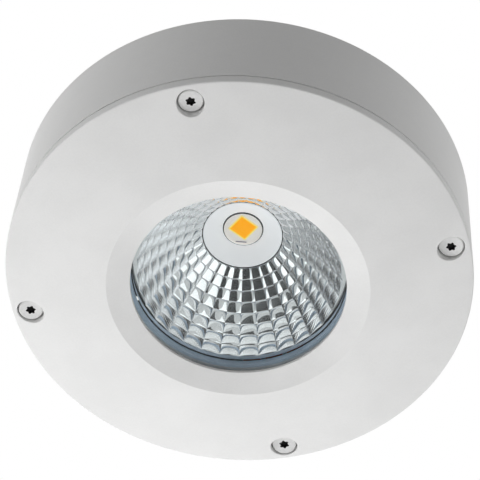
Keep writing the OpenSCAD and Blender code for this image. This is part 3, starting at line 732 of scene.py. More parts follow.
@dataclass(frozen=True)
class Finish(Look):
    """A coated or moulded surface: one colour, a pebbled skin, marks from handling, and an optional painted
    glow.
    """

    name: str
    colour: Triple
    roughness: float = 0.5
    grain: float = 1400.0
    bump: float = 0.02
    shade: float = 0.94
    gloss_spread: float = 0.08
    metallic: float = 0.0
    fine: float = 0.4
    marks: float = 0.0
    coat: float = 0.0
    # Painted light: a glow in the surface's own colour that makes a part look more lit, though it is no
    # lamp.
    glow: float = 0.0
    span: Pair = (0.25, 0.75)
    mark_gloss: float = 0.15
    mark_depth: float = 0.3

    def wire(self, wires: Wires) -> Socket:
        """Wires the surface.

        The colour runs from its shade to itself with the grain's tone, roughness follows the
        grain's gloss, and marks roughen it and sink into it where hairlines run.

        Args:
            wires: The material's tree.

        Returns:
            The shader's output.
        """
        grain = GRAIN.use(wires, Scale=self.grain, Fine=self.fine)
        base = wires.shades(grain["Tone"], self.span, self.colour, self.shade)
        rough = wires.ramp(grain["Gloss"], *self.span, self.roughness - self.gloss_spread,
                           self.roughness + self.gloss_spread)
        height = grain["Height"]
        if self.marks:
            worn = SCRATCHES.use(wires)
            rough = wires.maths("MULTIPLY_ADD", worn["Lines"], self.mark_gloss * self.marks, rough)
            height = wires.maths("MULTIPLY_ADD", worn["Height"], self.mark_depth * self.marks, height)
        # Where glow is set, the emission in the base colour is painted light, not a lamp.
        shader = wires.surface(base, rough, wires.bump(height, self.bump, 0.6), Emission_Color=base)
        shader.inputs["Metallic"].default_value = self.metallic
        shader.inputs["Coat Weight"].default_value = self.coat
        shader.inputs["Emission Strength"].default_value = self.glow
        return shader.outputs[0]


@dataclass(frozen=True)
class TurnedMetal(Look):
    """Bare metal with fine tool rings round an axis, as on a screw's head or a clamp ring."""

    name: str
    colour: Triple
    roughness: float = 0.3
    metallic: float = 1.0
    ring_depth: float = 0.004
    ring_scale: float = 2500.0
    centre: Pair = MIDDLE

    def wire(self, wires: Wires) -> Socket:
        """Wires the surface: rings set the bump and roughness, and a slow grain the tone.

        Args:
            wires: The material's tree.

        Returns:
            The shader's output.
        """
        grain = GRAIN.use(wires, Scale=900.0, Fine=0.6)
        rings = RINGS.use(wires, Centre_X=self.centre[0] * MM, Centre_Y=self.centre[1] * MM,
                          Scale=self.ring_scale)["Rings"]
        base = wires.shades(grain["Tone"], (0.25, 0.75), self.colour, 0.93)
        rough = wires.ramp(rings, 0.3, 0.7, self.roughness * 0.8, self.roughness * 1.25)
        shader = wires.surface(base, rough, wires.bump(rings, self.ring_depth, 0.5))
        shader.inputs["Metallic"].default_value = self.metallic
        return shader.outputs[0]


@dataclass(frozen=True)
class Mirror(Look):
    """Vacuum metallised plastic: a bright mirror with a trace of haze and fine streaks."""

    name: str = "metallised"
    colour: Triple = (249, 249, 250)
    roughness: float = 0.02

    def wire(self, wires: Wires) -> Socket:
        """Wires the surface: fine grain moves its tone, roughness and bump.

        Args:
            wires: The material's tree.

        Returns:
            The shader's output.
        """
        grain = GRAIN.use(wires, Scale=700.0, Fine=0.5)
        base = wires.shades(grain["Tone"], (0.3, 0.7), self.colour, 0.97)
        rough = wires.ramp(grain["Gloss"], 0.3, 0.7, self.roughness * 0.7, self.roughness * 1.5)
        shader = wires.surface(base, rough, wires.bump(grain["Height"], 0.002, 0.2))
        shader.inputs["Metallic"].default_value = 1.0
        return shader.outputs[0]


@dataclass(frozen=True)
class Glass(Look):
    """Clear toughened glass. Light from the lamps passes it straight, so what lies behind
    is lit evenly."""

    name: str = "glass"
    tint: Triple = (248, 252, 252)
    passed: tuple[float, float, float, float] = (0.96, 0.965, 0.965, 1.0)
    ior: float = 1.5

    def wire(self, wires: Wires) -> Socket:
        """Wires the glass, with faint wipe marks in its roughness.

        Args:
            wires: The material's tree.

        Returns:
            The shader's output.
        """
        grain = GRAIN.use(wires, Scale=300.0, Fine=0.3)
        shader = wires.add("BsdfPrincipled", Roughness=wires.ramp(grain["Gloss"], 0.3, 0.8, 0.0, 0.015))
        shader.inputs["Metallic"].default_value = 0.0
        shader.inputs["Base Color"].default_value = linear(*self.tint)
        shader.inputs["Transmission Weight"].default_value = 1.0
        shader.inputs["IOR"].default_value = self.ior
        shader.inputs["Specular IOR Level"].default_value = 0.2
        clear = wires.add("BsdfTransparent")
        clear.inputs[0].default_value = self.passed
        straight = wires.rays("Shadow", "Diffuse")
        return wires.add("MixShader", in0=straight, in1=shader.outputs[0], in2=clear.outputs[0]).outputs[0]


@dataclass(frozen=True)
class LitLayer(Look):
    """Square layer of phosphor in clear silicone: orange, with a lighter yellow border."""

    turn: float
    half: float
    border: float = 0.55
    name: str = "phosphor"
    dark: Triple = (255, 160, 0)
    light: Triple = (255, 172, 0)
    rim: Triple = (255, 216, 80)
    glow: float = 0.55

    def wire(self, wires: Wires) -> Socket:
        """Wires the layer.

        The border is where the larger of the two distances from the middle, along the
        layer's own axes, comes near half its width. Fine grains speckle the orange.

        Args:
            wires: The material's tree.

        Returns:
            The shader's output.
        """
        place = wires.add("Mapping", Vector=wires.add("TexCoord").outputs["Object"],
                          Rotation=(0.0, 0.0, -radians(self.turn))).outputs[0]
        parts = wires.add("SeparateXYZ", Vector=place)
        away = wires.maths("MAXIMUM", wires.maths("ABSOLUTE", parts.outputs[0]),
                           wires.maths("ABSOLUTE", parts.outputs[1]))
        edge = wires.ramp(away, (self.half - self.border) * MM, (self.half - 0.1) * MM)
        grain = GRAIN.use(wires, Scale=9000.0, Fine=0.6)
        tone = wires.ramp(grain["Tone"], 0.2, 0.8)
        orange = wires.blend(tone, linear(*self.dark), linear(*self.light))
        base = wires.blend(edge, orange, linear(*self.rim))
        shader = wires.surface(base, 0.5, wires.bump(grain["Height"], 0.01, 0.4), Emission_Color=base)
        shader.inputs["Emission Strength"].default_value = self.glow
        shader.inputs["Specular IOR Level"].default_value = 0.0
        return shader.outputs[0]


class Palette:
    """The lamp's materials by name, each built when it is first asked for."""

    finishes = (
        # Colour, roughness, grain and bump, and what else differs.
        Finish("powder_coat", (231, 231, 230), 0.48, 1500, 0.02, shade=0.975),
        Finish("black_rubber_and_painted_shade", (38, 38, 40), 0.7, 2500, 0.01),
        # The glow of the holder, the board and the dam is painted light that brightens them behind the
        # glass.
        Finish("white_moulding", (246, 246, 248), 0.35, 2600, 0.004, shade=0.985, glow=0.32),
        Finish("board_metal", (246, 240, 234), 0.3, 2600, 0.004, shade=0.97, metallic=0.15, marks=0.3,
               glow=0.27),
        Finish("clear_dam", (255, 240, 180), 0.2, 3000, 0.003, shade=0.97, coat=0.4, glow=0.25),
        Finish("solder", (176, 166, 178), 0.4, 3000, 0.002, metallic=0.3),
        Finish("pad_grey", (120, 130, 140), 0.8, 3000, 0.02),
        Finish("bare_moulding", (52, 56, 62), 0.4, 1800, 0.01),
        Finish("plated_steel", (200, 200, 198), 0.3, 2400, 0.004, metallic=1.0, marks=0.5),
        # Painted shade: the sockets' steel is drawn dark where shade falls in the recess, unlike the bright
        # heads.
        Finish("socket_painted_shade", (60, 60, 60), 0.45, 1400, 0.02, metallic=0.8),
        Finish("driver_plastic", (226, 226, 222), 0.45, 1700, 0.02, shade=0.97, marks=0.3),
        Finish("ferrite", (58, 56, 56), 0.55, 2200, 0.02),
        Finish("transformer_tape", (228, 180, 40), 0.35, 500, 0.02, shade=0.9, coat=0.2),
        Finish("capacitor_sleeve", (34, 40, 74), 0.3, 900, 0.006, coat=0.4),
        Finish("solder_mask", (28, 92, 58), 0.3, 420, 0.02, shade=0.8, marks=0.6, coat=0.3),
        Finish("terminal_grey", (205, 207, 208), 0.42, 1900, 0.012, shade=0.96, marks=0.3),
        Finish("lever_orange", (235, 108, 24), 0.38, 1900, 0.01, shade=0.93, marks=0.4),
        Finish("brass", (214, 178, 106), 0.3, 1500, 0.006, shade=0.9, metallic=1.0, marks=0.8),
        *(Finish(f"wire_{colour}", shown, 0.38, 1500, 0.008) for colour, shown in (
            ("brown", (92, 52, 30)), ("blue", (40, 92, 172)), ("red", (178, 30, 28)),
            ("black", (30, 30, 32)), ("green", (44, 128, 54)), ("yellow", (226, 202, 44)))),
        *(TurnedMetal(f"screw_steel_{k}", (240, 240, 239), 0.42, 0.22, centre=place)
          for k, place in enumerate(quarters(SCREW_CIRCLE), 1)),
        TurnedMetal("clamp_metal", (198, 217, 236), 0.42, 0.3),
        Finish("clamp_face", (226, 232, 238), 0.4, 2000, 0.004),
        Mirror(),
        Glass(),
        LitLayer(LIT_TURN, LIT_HALF),
    )

    def __init__(self) -> None:
        """Sorts the finishes by name."""
        self.recipes = {f.name: f for f in self.finishes}
        self.made: dict[str, Material] = {}

    def __getitem__(self, name: str) -> Material:
        """The material of a name."""
        if name not in self.made:
            self.made[name] = self.recipes[name].material()
        return self.made[name]


PALETTE = Palette()


@dataclass
class Piece:
    """A named piece that gathers patches and becomes one object."""

    name: str
    body: Body
    slot: str
    patches: list[Patch] = field(default_factory=list)

    def add(self, *patches: Patch | list[Patch]) -> None:
        """Adds patches, or lists of them, to the piece."""
        for p in patches:
            self.patches.extend(p if isinstance(p, list) else [p])

    def make(self, looks: Sequence[str], *nodes: str) -> None:
        """Writes the mesh, gives it its materials and puts it on its body.

        Points that coincide are welded, a face keeps its distinct corners, and each corner
        keeps its own normal, so flat faces shade flat and rounded edges shade round.

        Args:
            looks: Names of its materials, in the order of the patches' finish.
            nodes: Nodes of the model that the piece stands for.
        """
        points = np.concatenate([p.points for p in self.patches])
        normals = unit(np.concatenate([p.normals for p in self.patches]))
        start = np.cumsum([0] + [len(p.points) for p in self.patches])
        faces = np.concatenate([p.faces + s for p, s in zip(self.patches, start)])
        finish = np.concatenate([np.full(len(p.faces), p.finish) for p in self.patches])
        _, first, weld = np.unique(np.round(points / WELD).astype(np.int64), axis=0,
                                   return_index=True, return_inverse=True)
        corners = weld.reshape(-1)[faces]
        keep = corners != np.roll(corners, 1, axis=1)
        good = keep.sum(1) >= 3
        keep, finish = keep[good], finish[good]
        used = corners[good][keep]
        total = keep.sum(1)
        mesh = bpy.data.meshes.new(self.name)
        mesh.vertices.add(len(first))
        mesh.vertices.foreach_set("co", (points[first] * MM).astype(np.float32).ravel())
        mesh.loops.add(len(used))
        mesh.loops.foreach_set("vertex_index", used.astype(np.int32))
        mesh.polygons.add(len(total))
        mesh.polygons.foreach_set("loop_start", (np.cumsum(total) - total).astype(np.int32))
        mesh.polygons.foreach_set("material_index", finish.astype(np.int32))
        mesh.update(calc_edges=True)
        mesh.shade_smooth()
        mesh.normals_split_custom_set(normals[faces[good]][keep])
        for look in looks:
            mesh.materials.append(PALETTE[look])
        piece = placed(self.name, mesh)
        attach(piece, self.body.value)
        if nodes:
            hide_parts(*nodes)
        log.info("%s: %d faces on %s", self.name, len(total), self.body.value)


def dress(node: str, look: str, soft: float = 0.0) -> None:
    """Gives a node of the model its material, and rounds its sharp edges.

    Args:
        node: Name of the node.
        look: Name of the material.
        soft: Width of the rounding. The node's loose faces are welded, then bevelled.
    """
    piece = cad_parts[node]
    if not piece.material_slots:
        piece.data.materials.append(None)
    for place in piece.material_slots:
        place.material = PALETTE[look]
    if soft:
        piece.modifiers.new("weld", "WELD").merge_threshold = 2e-6
        bevel = piece.modifiers.new("edges", "BEVEL")
        bevel.width = soft * MM
        bevel.segments = 2
        bevel.limit_method = "ANGLE"
        bevel.angle_limit = radians(50)
    log.info("%s: dressed with %s", node, look)


@dataclass(frozen=True)
class Drum:
    """Cast drum: tapered outer wall, back wall with holes, screw bosses and pedestal."""

    rim_r: float = 80.0
    back_r: float = 78.2
    rim_z: float = -41.7
    mouth_z: float = -37.6
    wall: float = 3.6
    back_z: float = -3.5
    bevel: float = 0.6
    edge: float = 0.25
    boss_at: float = SCREW_CIRCLE
    boss_r: float = 5.0
    hole_r: float = 2.05
    hole_l: float = 14.0
    pedestal_r: float = 24.0
    pedestal_z: float = -9.0
    foot_z: float = -6.5
    foot_r: float = 4.0
    foot_hole_r: float = 1.55
    foot_hole_l: float = 4.0
    lug: Pair = (45.55, -50.5)
    ear: Pair = (17.5, 48.0)
    earth: Pair = (-27.0, 18.0)
    earth_r: float = 4.5
    earth_hole_r: float = 2.05
    slot_x: float = 58.0
    slot_r: float = 2.6
    slot_l: float = 10.0
    entry: Pair = (46.0, 27.0)
    entry_r: float = 10.2

    def wall_r(self, z: float) -> float:
        """Outer radius at a height, which grows evenly from the ceiling to the rim."""
        return self.back_r + (self.rim_r - self.back_r) * z / self.rim_z

    def slot_loop(self, side: float) -> Loop:
        """Outline of the fixing slot on one side."""
        return corner_loop(self.slot_l / 2 - self.slot_r, 0.0, (side * self.slot_x, 0.0), 12)

    def mouth_outline(self, z: float) -> tuple[Array, Array]:
        """Inner outline of the wall with its four bosses, and its normals towards the axis.

        Between two bosses it is an arc of the wall. Round a boss it is the boss's circle,
        from where it leaves the wall to where it meets it again.

        Args:
            z: Height of the outline.

        Returns:
            Points and normals, anticlockwise, each n by 2.
        """
        wall_r = self.wall_r(z) - self.wall
        meet = acos((wall_r**2 + self.boss_at**2 - self.boss_r**2) / (2 * wall_r * self.boss_at))
        arm = atan2(wall_r * sin(meet), wall_r * cos(meet) - self.boss_at)
        around = np.linspace(2 * pi - arm, arm, 25)
        rim = np.linspace(meet, pi / 2 - meet, 41)
        boss_out = np.stack([np.cos(around), np.sin(around)], 1)
        rim_out = np.stack([np.cos(rim), np.sin(rim)], 1)
        points = np.vstack([np.array([self.boss_at, 0]) + self.boss_r * boss_out, wall_r * rim_out])
        normals = np.vstack([boss_out, -rim_out])
        turns = [np.linalg.matrix_power(np.array([[0, 1], [-1, 0]]), k) for k in range(4)]
        return np.vstack([points @ t for t in turns]), np.vstack([normals @ t for t in turns])

    def build(self) -> None:
        """Makes the drum."""
        piece = Piece("drum", Body.LAMP, "cast_body")
        ring = ring_loop()
        mouth_r, top_r, overlap = self.wall_r(self.mouth_z), self.back_r - self.bevel, 0.5
        piece.add(lathe([(top_r - overlap, 0, 0), (top_r, 0, 0.2),
                         (self.wall_r(-self.bevel), -self.bevel, 0.3), (mouth_r, self.mouth_z, self.edge),
                         (mouth_r - overlap, self.mouth_z, 0)]))
        sides = (-1.0, 1.0)
        through = [(self.slot_loop(s), self.slot_r) for s in sides]
        through += [(ring_loop(MEDIUM, (s * self.entry[0], self.entry[1])), self.entry_r) for s in sides]
        openings = [loop.at(radius) for loop, radius in through]
        piece.add(sheet(ring.at(top_r - overlap), openings, 0.0, Facing.UP))
        for loop, radius in through:
            piece.add(band([(radius, self.back_z, 0), (radius, 0.0, 0)], loop))
        low, low_out = self.mouth_outline(self.mouth_z)
        high, high_out = self.mouth_outline(self.back_z)
        piece.add(strip(level(low, self.mouth_z), level(high, self.back_z),
                        np.stack([level(low_out, 0.0), level(high_out, 0.0)])))
        bosses = [ring_loop(SMALL, place) for place in quarters(self.boss_at)]
        holes = [low, *(b.at(self.hole_r) for b in bosses)]
        piece.add(sheet(ring.at(mouth_r - overlap), holes, self.mouth_z, Facing.DOWN))
        for b in bosses:
            piece.add(self.blind_hole(b, self.hole_r, self.mouth_z, self.hole_l))
        stands = [(ring_loop(SMALL, (s * x, y)), self.foot_r, self.foot_hole_r)
                  for s in sides for x, y in (self.lug, self.ear)]
        stands.append((ring_loop(SMALL, self.earth), self.earth_r, self.earth_hole_r))
        piece.add(sheet(high, [*openings, *(f.at(r) for f, r, _ in stands), ring.at(self.pedestal_r)],
                        self.back_z, Facing.DOWN))
        for loop, radius, bore in stands:
            foot = [(radius, self.back_z, 0), (radius, self.foot_z, 0.3), (bore, self.foot_z, 0)]
            piece.add(band(foot, loop), self.blind_hole(loop, bore, self.foot_z, self.foot_hole_l))
        face = self.pedestal_r - 1
        piece.add(band([(self.pedestal_r, self.back_z, 0), (self.pedestal_r, self.pedestal_z, 0.4),
                        (face, self.pedestal_z, 0)], ring), disc(ring, face, self.pedestal_z, Facing.DOWN))
        piece.make(["powder_coat"], "housing")

    def blind_hole(self, loop: Loop, radius: float, mouth: float, depth: float) -> Patch:
        """Wall and bottom of a tapped hole that goes up from its mouth."""
        return band([(radius, mouth, 0), (radius, mouth + depth, 0), (0.0, mouth + depth, 0)], loop)


@dataclass(frozen=True)
class Cover:
    """Domed cast cover with a dish round its lens, and the four screws that hold it."""

    drum: Drum = field(default_factory=Drum)
    top_z: float = -38.3
    dome_h: float = 10.1
    rim_round: float = 0.7
    wall: float = 3.0
    dish_r: float = 45.0
    open_r: float = 36.9
    dish_sink: float = 2.0
    lip_t: float = 1.2
    pocket_r: float = 40.3
    lens_back_z: float = -40.84
    collar_r: float = 47.8
    flange_r: float = 67.5
    screw_at: float = SCREW_CIRCLE
    head_r: float = 4.2
    head_h: float = 2.2
    head_sink: float = 1.2
    head_gap: float = 0.5
    shank_r: float = 2.0
    shank_l: float = 12.0
    hole_r: float = 2.3
    socket_r: float = 1.65

    @property
    def sphere_r(self) -> float:
        """Radius of the dome's sphere, from its rise over the rim's radius."""
        return (self.drum.rim_r**2 + self.dome_h**2) / (2 * self.dome_h)

    @property
    def sphere_z(self) -> float:
        """Height of the middle of the dome's sphere."""
        return self.sphere_r + self.drum.rim_z - self.dome_h

    def dome_z(self, r: float, inset: float = 0.0) -> float:
        """Height of the dome at a radius, or of its inner face a wall's inset above it."""
        return self.sphere_z - sqrt((self.sphere_r - inset) ** 2 - r**2)

    @property
    def lip_z(self) -> float:
        """Height of the lip's front face, where the dish ends."""
        return self.dome_z(self.dish_r) + self.dish_sink

    @property
    def seat_z(self) -> float:
        """Height of the screws' seat."""
        return self.dome_z(self.screw_at) + self.head_sink + self.head_h

    def dome(self, flat: Array, inset: float = 0.0) -> tuple[Array, Array]:
        """Heights of the dome over flat points, and normals straight out from its middle.

        Args:
            flat: Points, n by 2.
            inset: Distance of the face inside the sphere. Inner faces point inwards.

        Returns:
            Heights and normals.
        """
        radius = self.sphere_r - inset
        z = self.sphere_z - np.sqrt(radius**2 - (flat**2).sum(1))
        out = unit(np.column_stack([flat, z - self.sphere_z]))
        return z, -out if inset else out

    def arc(self, start: float, end: float, inset: float) -> Profile:
        """Profile of the dome between two radii, at a distance inside its sphere."""
        r = np.linspace(start, end, 25)
        z, normals = self.dome(np.column_stack([r, 0 * r]), inset)
        return Profile(np.column_stack([r, z]), normals[:, [0, 2]])

    def build(self) -> None:
        """Makes the cover and its screws, and dresses its seal."""
        self.build_shell()
        for k in range(4):
            self.build_screw(k)
        dress("cover_seal", "black_rubber_and_painted_shade")

    def build_shell(self) -> None:
        """Makes the cover's shell, from the rim over the dome and dish to the flange inside."""
        piece = Piece("cover", Body.COVER, "cast_body")
        rim_r, rim_z, overlap = self.drum.rim_r, self.drum.rim_z, 0.5
        top_r = self.drum.wall_r(self.top_z)
        face_r, dish_edge = rim_r - 1.0, self.dish_r + 0.6
        back = self.lip_z + self.lip_t
        ring = ring_loop()
        piece.add(lathe([(top_r - overlap, self.top_z, 0), (top_r, self.top_z, 0.2),
                         (rim_r, rim_z, self.rim_round), (face_r, self.dome_z(face_r), 0)]))
        piece.add(self.build_dome(ring, face_r, dish_edge))
        piece.add(lathe([(dish_edge, self.dome_z(dish_edge), 0),
                         (self.dish_r, self.dome_z(self.dish_r), 0.5), (self.open_r, self.lip_z, 0.3),
                         (self.open_r, back, 0.15), (self.pocket_r, back, 0),
                         (self.pocket_r, self.lens_back_z, 0), (self.collar_r, self.lens_back_z, 0),
                         (self.collar_r, self.dome_z(self.collar_r, self.wall), 0)]))
        piece.add(carry(self.arc(self.collar_r, self.flange_r, self.wall), ring))
        piece.add(lathe([(self.flange_r, self.dome_z(self.flange_r, self.wall), 0),
                         (self.flange_r, self.top_z, 0.2), (self.flange_r + overlap, self.top_z, 0)]))
        holes = [ring_loop(SMALL, place).at(self.hole_r) for place in quarters(self.screw_at)]
        piece.add(sheet(ring.at(top_r - overlap), [ring.at(self.flange_r + overlap), *holes], self.top_z,
                        Facing.UP))
        piece.make(["powder_coat"], "front_cover")

    def build_dome(self, ring: Loop, outer: float, inner: float) -> list[Patch]:
        """The domed face with its counterbores.

        The face is cut flat with rings of points between its edges, and lifted to the sphere.
        A counterbore's edge is a small round whose top follows the dome, its wall goes up to
        the seat, and the through hole goes on to the flange's back.

        Args:
            ring: Outline round the axis.
            outer: Outer radius of the face.
            inner: Its inner radius.

        Returns:
            The patches.
        """
        bore, soft = self.head_r + self.head_gap, 0.25
        bend = np.linspace(0, pi / 2, 5)
        share = bend[:, None, None]
        places = quarters(self.screw_at)
        patches, holes = [], []
        for place in places:
            loop = ring_loop(SMALL, place)
            holes.append(loop.at(bore + soft))
            flat = np.stack([loop.at(bore + soft - soft * sin(b)) for b in bend])
            z, down = self.dome(flat.reshape(-1, 2))
            z = z.reshape(*flat.shape[:2], 1) + soft * (1 - np.cos(share))
            inward = level(-loop.out, 0.0)
            normals = unit(np.cos(share) * down.reshape(*flat.shape[:2], 3) + np.sin(share) * inward)
            edge = np.concatenate([flat, z], -1)
            patches += [grid(edge, normals, True),
                        strip(edge[-1], level(loop.at(bore), self.seat_z), inward),
                        band([(bore, self.seat_z, 0), (self.hole_r, self.seat_z, 0),
                              (self.hole_r, self.top_z, 0)], loop)]
        spacing, around, margin = 2.4, 144, 1.2
        radii = np.arange(inner + 2.5, outer - 1.5, spacing)[:, None]
        a = (np.arange(len(radii))[:, None] * 0.5 + np.arange(around)) * 2 * pi / around
        extra = np.stack([radii * np.cos(a), radii * np.sin(a)], -1).reshape(-1, 2)
        clear = np.min([np.linalg.norm(extra - place, axis=1) for place in places], axis=0)
        extra = extra[clear > bore + margin]
        patches.append(sheet(ring.at(outer), [ring.at(inner), *holes], self.dome, Facing.DOWN, extra))
        return patches

    def build_screw(self, k: int) -> None:
        """Makes a cover screw: a low head with a six-lobe socket, and its shank.

        Args:
            k: Number of the screw, from 0.
        """
        x, y = quarters(self.screw_at)[k]
        piece = Piece(f"cover_bolt_{k + 1}", Body(f"screw_{k + 1}"), "cover_screw_steel")
        patches = screw(self.head_r, self.head_h, self.shank_r, self.shank_l, self.socket_r, 0.55)
        piece.add([p.turned(90 * k).moved(x, y, self.seat_z) for p in patches])
        piece.make([f"screw_steel_{k + 1}", "socket_painted_shade"], f"cover_screw_{k + 1}")


def screw(head_r: float, head_h: float, shank_r: float, length: float, socket_r: float,
          edge: float = 0.3) -> list[Patch]:
    """A screw with its seat at height 0, its head below and its shank above.

    The socket's outline is a circle whose radius swings six times round by a cosine. Its wall
    follows that outline up to the socket's floor, which a shallow cone closes.

    Args:
        head_r: Radius of the head.
        head_h: Height of the head.
        shank_r: Radius of the shank.
        length: Length of the shank.
        socket_r: Outer radius of the socket.
        edge: Radius of the head's edge.

    Returns:
        The patches. The socket has finish 1, whose dark colour is painted shade in the recess.
    """
    ring = ring_loop(MEDIUM)
    a = np.arange(MEDIUM) * 2 * pi / MEDIUM
    mean, swing, flare, collar = 0.86 * socket_r, 0.14 * socket_r, 0.12, socket_r + 0.25
    swept = mean + swing * np.cos(6 * a)
    slope = -6 * swing * np.sin(6 * a)
    side = unit(np.stack([swept * np.cos(a) + slope * np.sin(a), swept * np.sin(a) - slope * np.cos(a)], 1))
    face, floor = -head_h, -head_h + 0.6 * head_h
    lobe, mouth = swept[:, None] * ring.out, (swept + flare)[:, None] * ring.out
    top = face + flare
    outside = [(0.0, length, 0), (shank_r - 0.5, length, 0.1), (shank_r, length - 0.6, 0.1),
               (shank_r, 0.0, 0), (head_r, 0.0, shank_r * 0.12), (head_r, face, edge), (collar, face, 0)]
    lead, under = unit(level(-side, -1.0)), unit(level(-0.2 * ring.out, -1.0))
    return [band(outside, ring),
            strip(level(collar * ring.out, face), level(mouth, face), np.array([0.0, 0.0, -1.0])),
            strip(level(mouth, face), level(lobe, top), lead, 1),
            strip(level(lobe, top), level(lobe, floor), level(-side, 0.0), 1),
            strip(level(lobe, floor), level(0 * lobe, floor + 0.3), under, 1)]


@dataclass(frozen=True)
class LensStack:
    """Glass, its seal and the ring that clamps them, with the ring's screws."""

    open_r: float = Cover.open_r
    lens_r: float = 40.0
    front_z: float = -44.84
    back_z: float = Cover.lens_back_z
    bevel: float = 0.4
    seal_t: float = 0.6
    clamp_r: float = 37.0
    clamp_out: float = 47.8
    clamp_z: float = -38.04
    lead_in: float = 0.9
    screw_at: float = 44.05
    hole_r: float = 1.55

    def build(self) -> None:
        """Makes the glass, its seal and the clamp ring."""
        pane = Piece("glass_lens", Body.COVER, "clear_glass")
        ring, face_r = ring_loop(), self.lens_r - self.bevel
        pane.add(lathe([(face_r, self.back_z, 0), (self.lens_r, self.back_z - self.bevel, 0.1),
                        (self.lens_r, self.front_z + self.bevel, 0.1), (face_r, self.front_z, 0),
                        (0.0, self.front_z, 0)]), disc(ring, face_r, self.back_z, Facing.UP))
        pane.make(["glass"], "lens")
        inner, top, low = self.open_r + 0.4, self.front_z, self.front_z - self.seal_t
        seal = Piece("lens_gasket", Body.COVER, "dark_rubber")
        seal.add(lathe([(inner, top, 0), (self.lens_r, top, 0.1), (self.lens_r, low, 0.1), (inner, low, 0),
                        (inner - 0.1, (top + low) / 2, 0.2), (inner, top, 0)]))
        seal.make(["black_rubber_and_painted_shade"], "lens_seal")
        holes = [ring_loop(SMALL // 2, place) for place in quarters(self.screw_at, 0.5)]
        bores = [h.at(self.hole_r) for h in holes]
        clamp = Piece("clamp_ring", Body.COVER, "clamp_ring_metal")
        mouth, soft = self.clamp_r + self.lead_in, 0.3
        outer, step = self.clamp_out - soft, self.clamp_r + soft
        clamp.add(lathe([(mouth, self.back_z, 0), (self.clamp_r, self.back_z + self.lead_in / 3, 0.1),
                         (self.clamp_r, self.clamp_z, 0.15), (step, self.clamp_z, 0)]),
                  sheet(ring.at(outer), [ring.at(step), *bores], self.clamp_z, Facing.UP),
                  lathe([(outer, self.clamp_z, 0), (self.clamp_out, self.clamp_z, 0.2),
                         (self.clamp_out, self.back_z, 0.2), (outer, self.back_z, 0)]),
                  sheet(ring.at(outer), [ring.at(mouth), *bores], self.back_z, Facing.DOWN, finish=1))
        for h in holes:
            clamp.add(band([(self.hole_r, self.back_z, 0), (self.hole_r, self.clamp_z, 0)], h))
        clamp.make(["clamp_metal", "clamp_face"], "lens_clamp_ring")


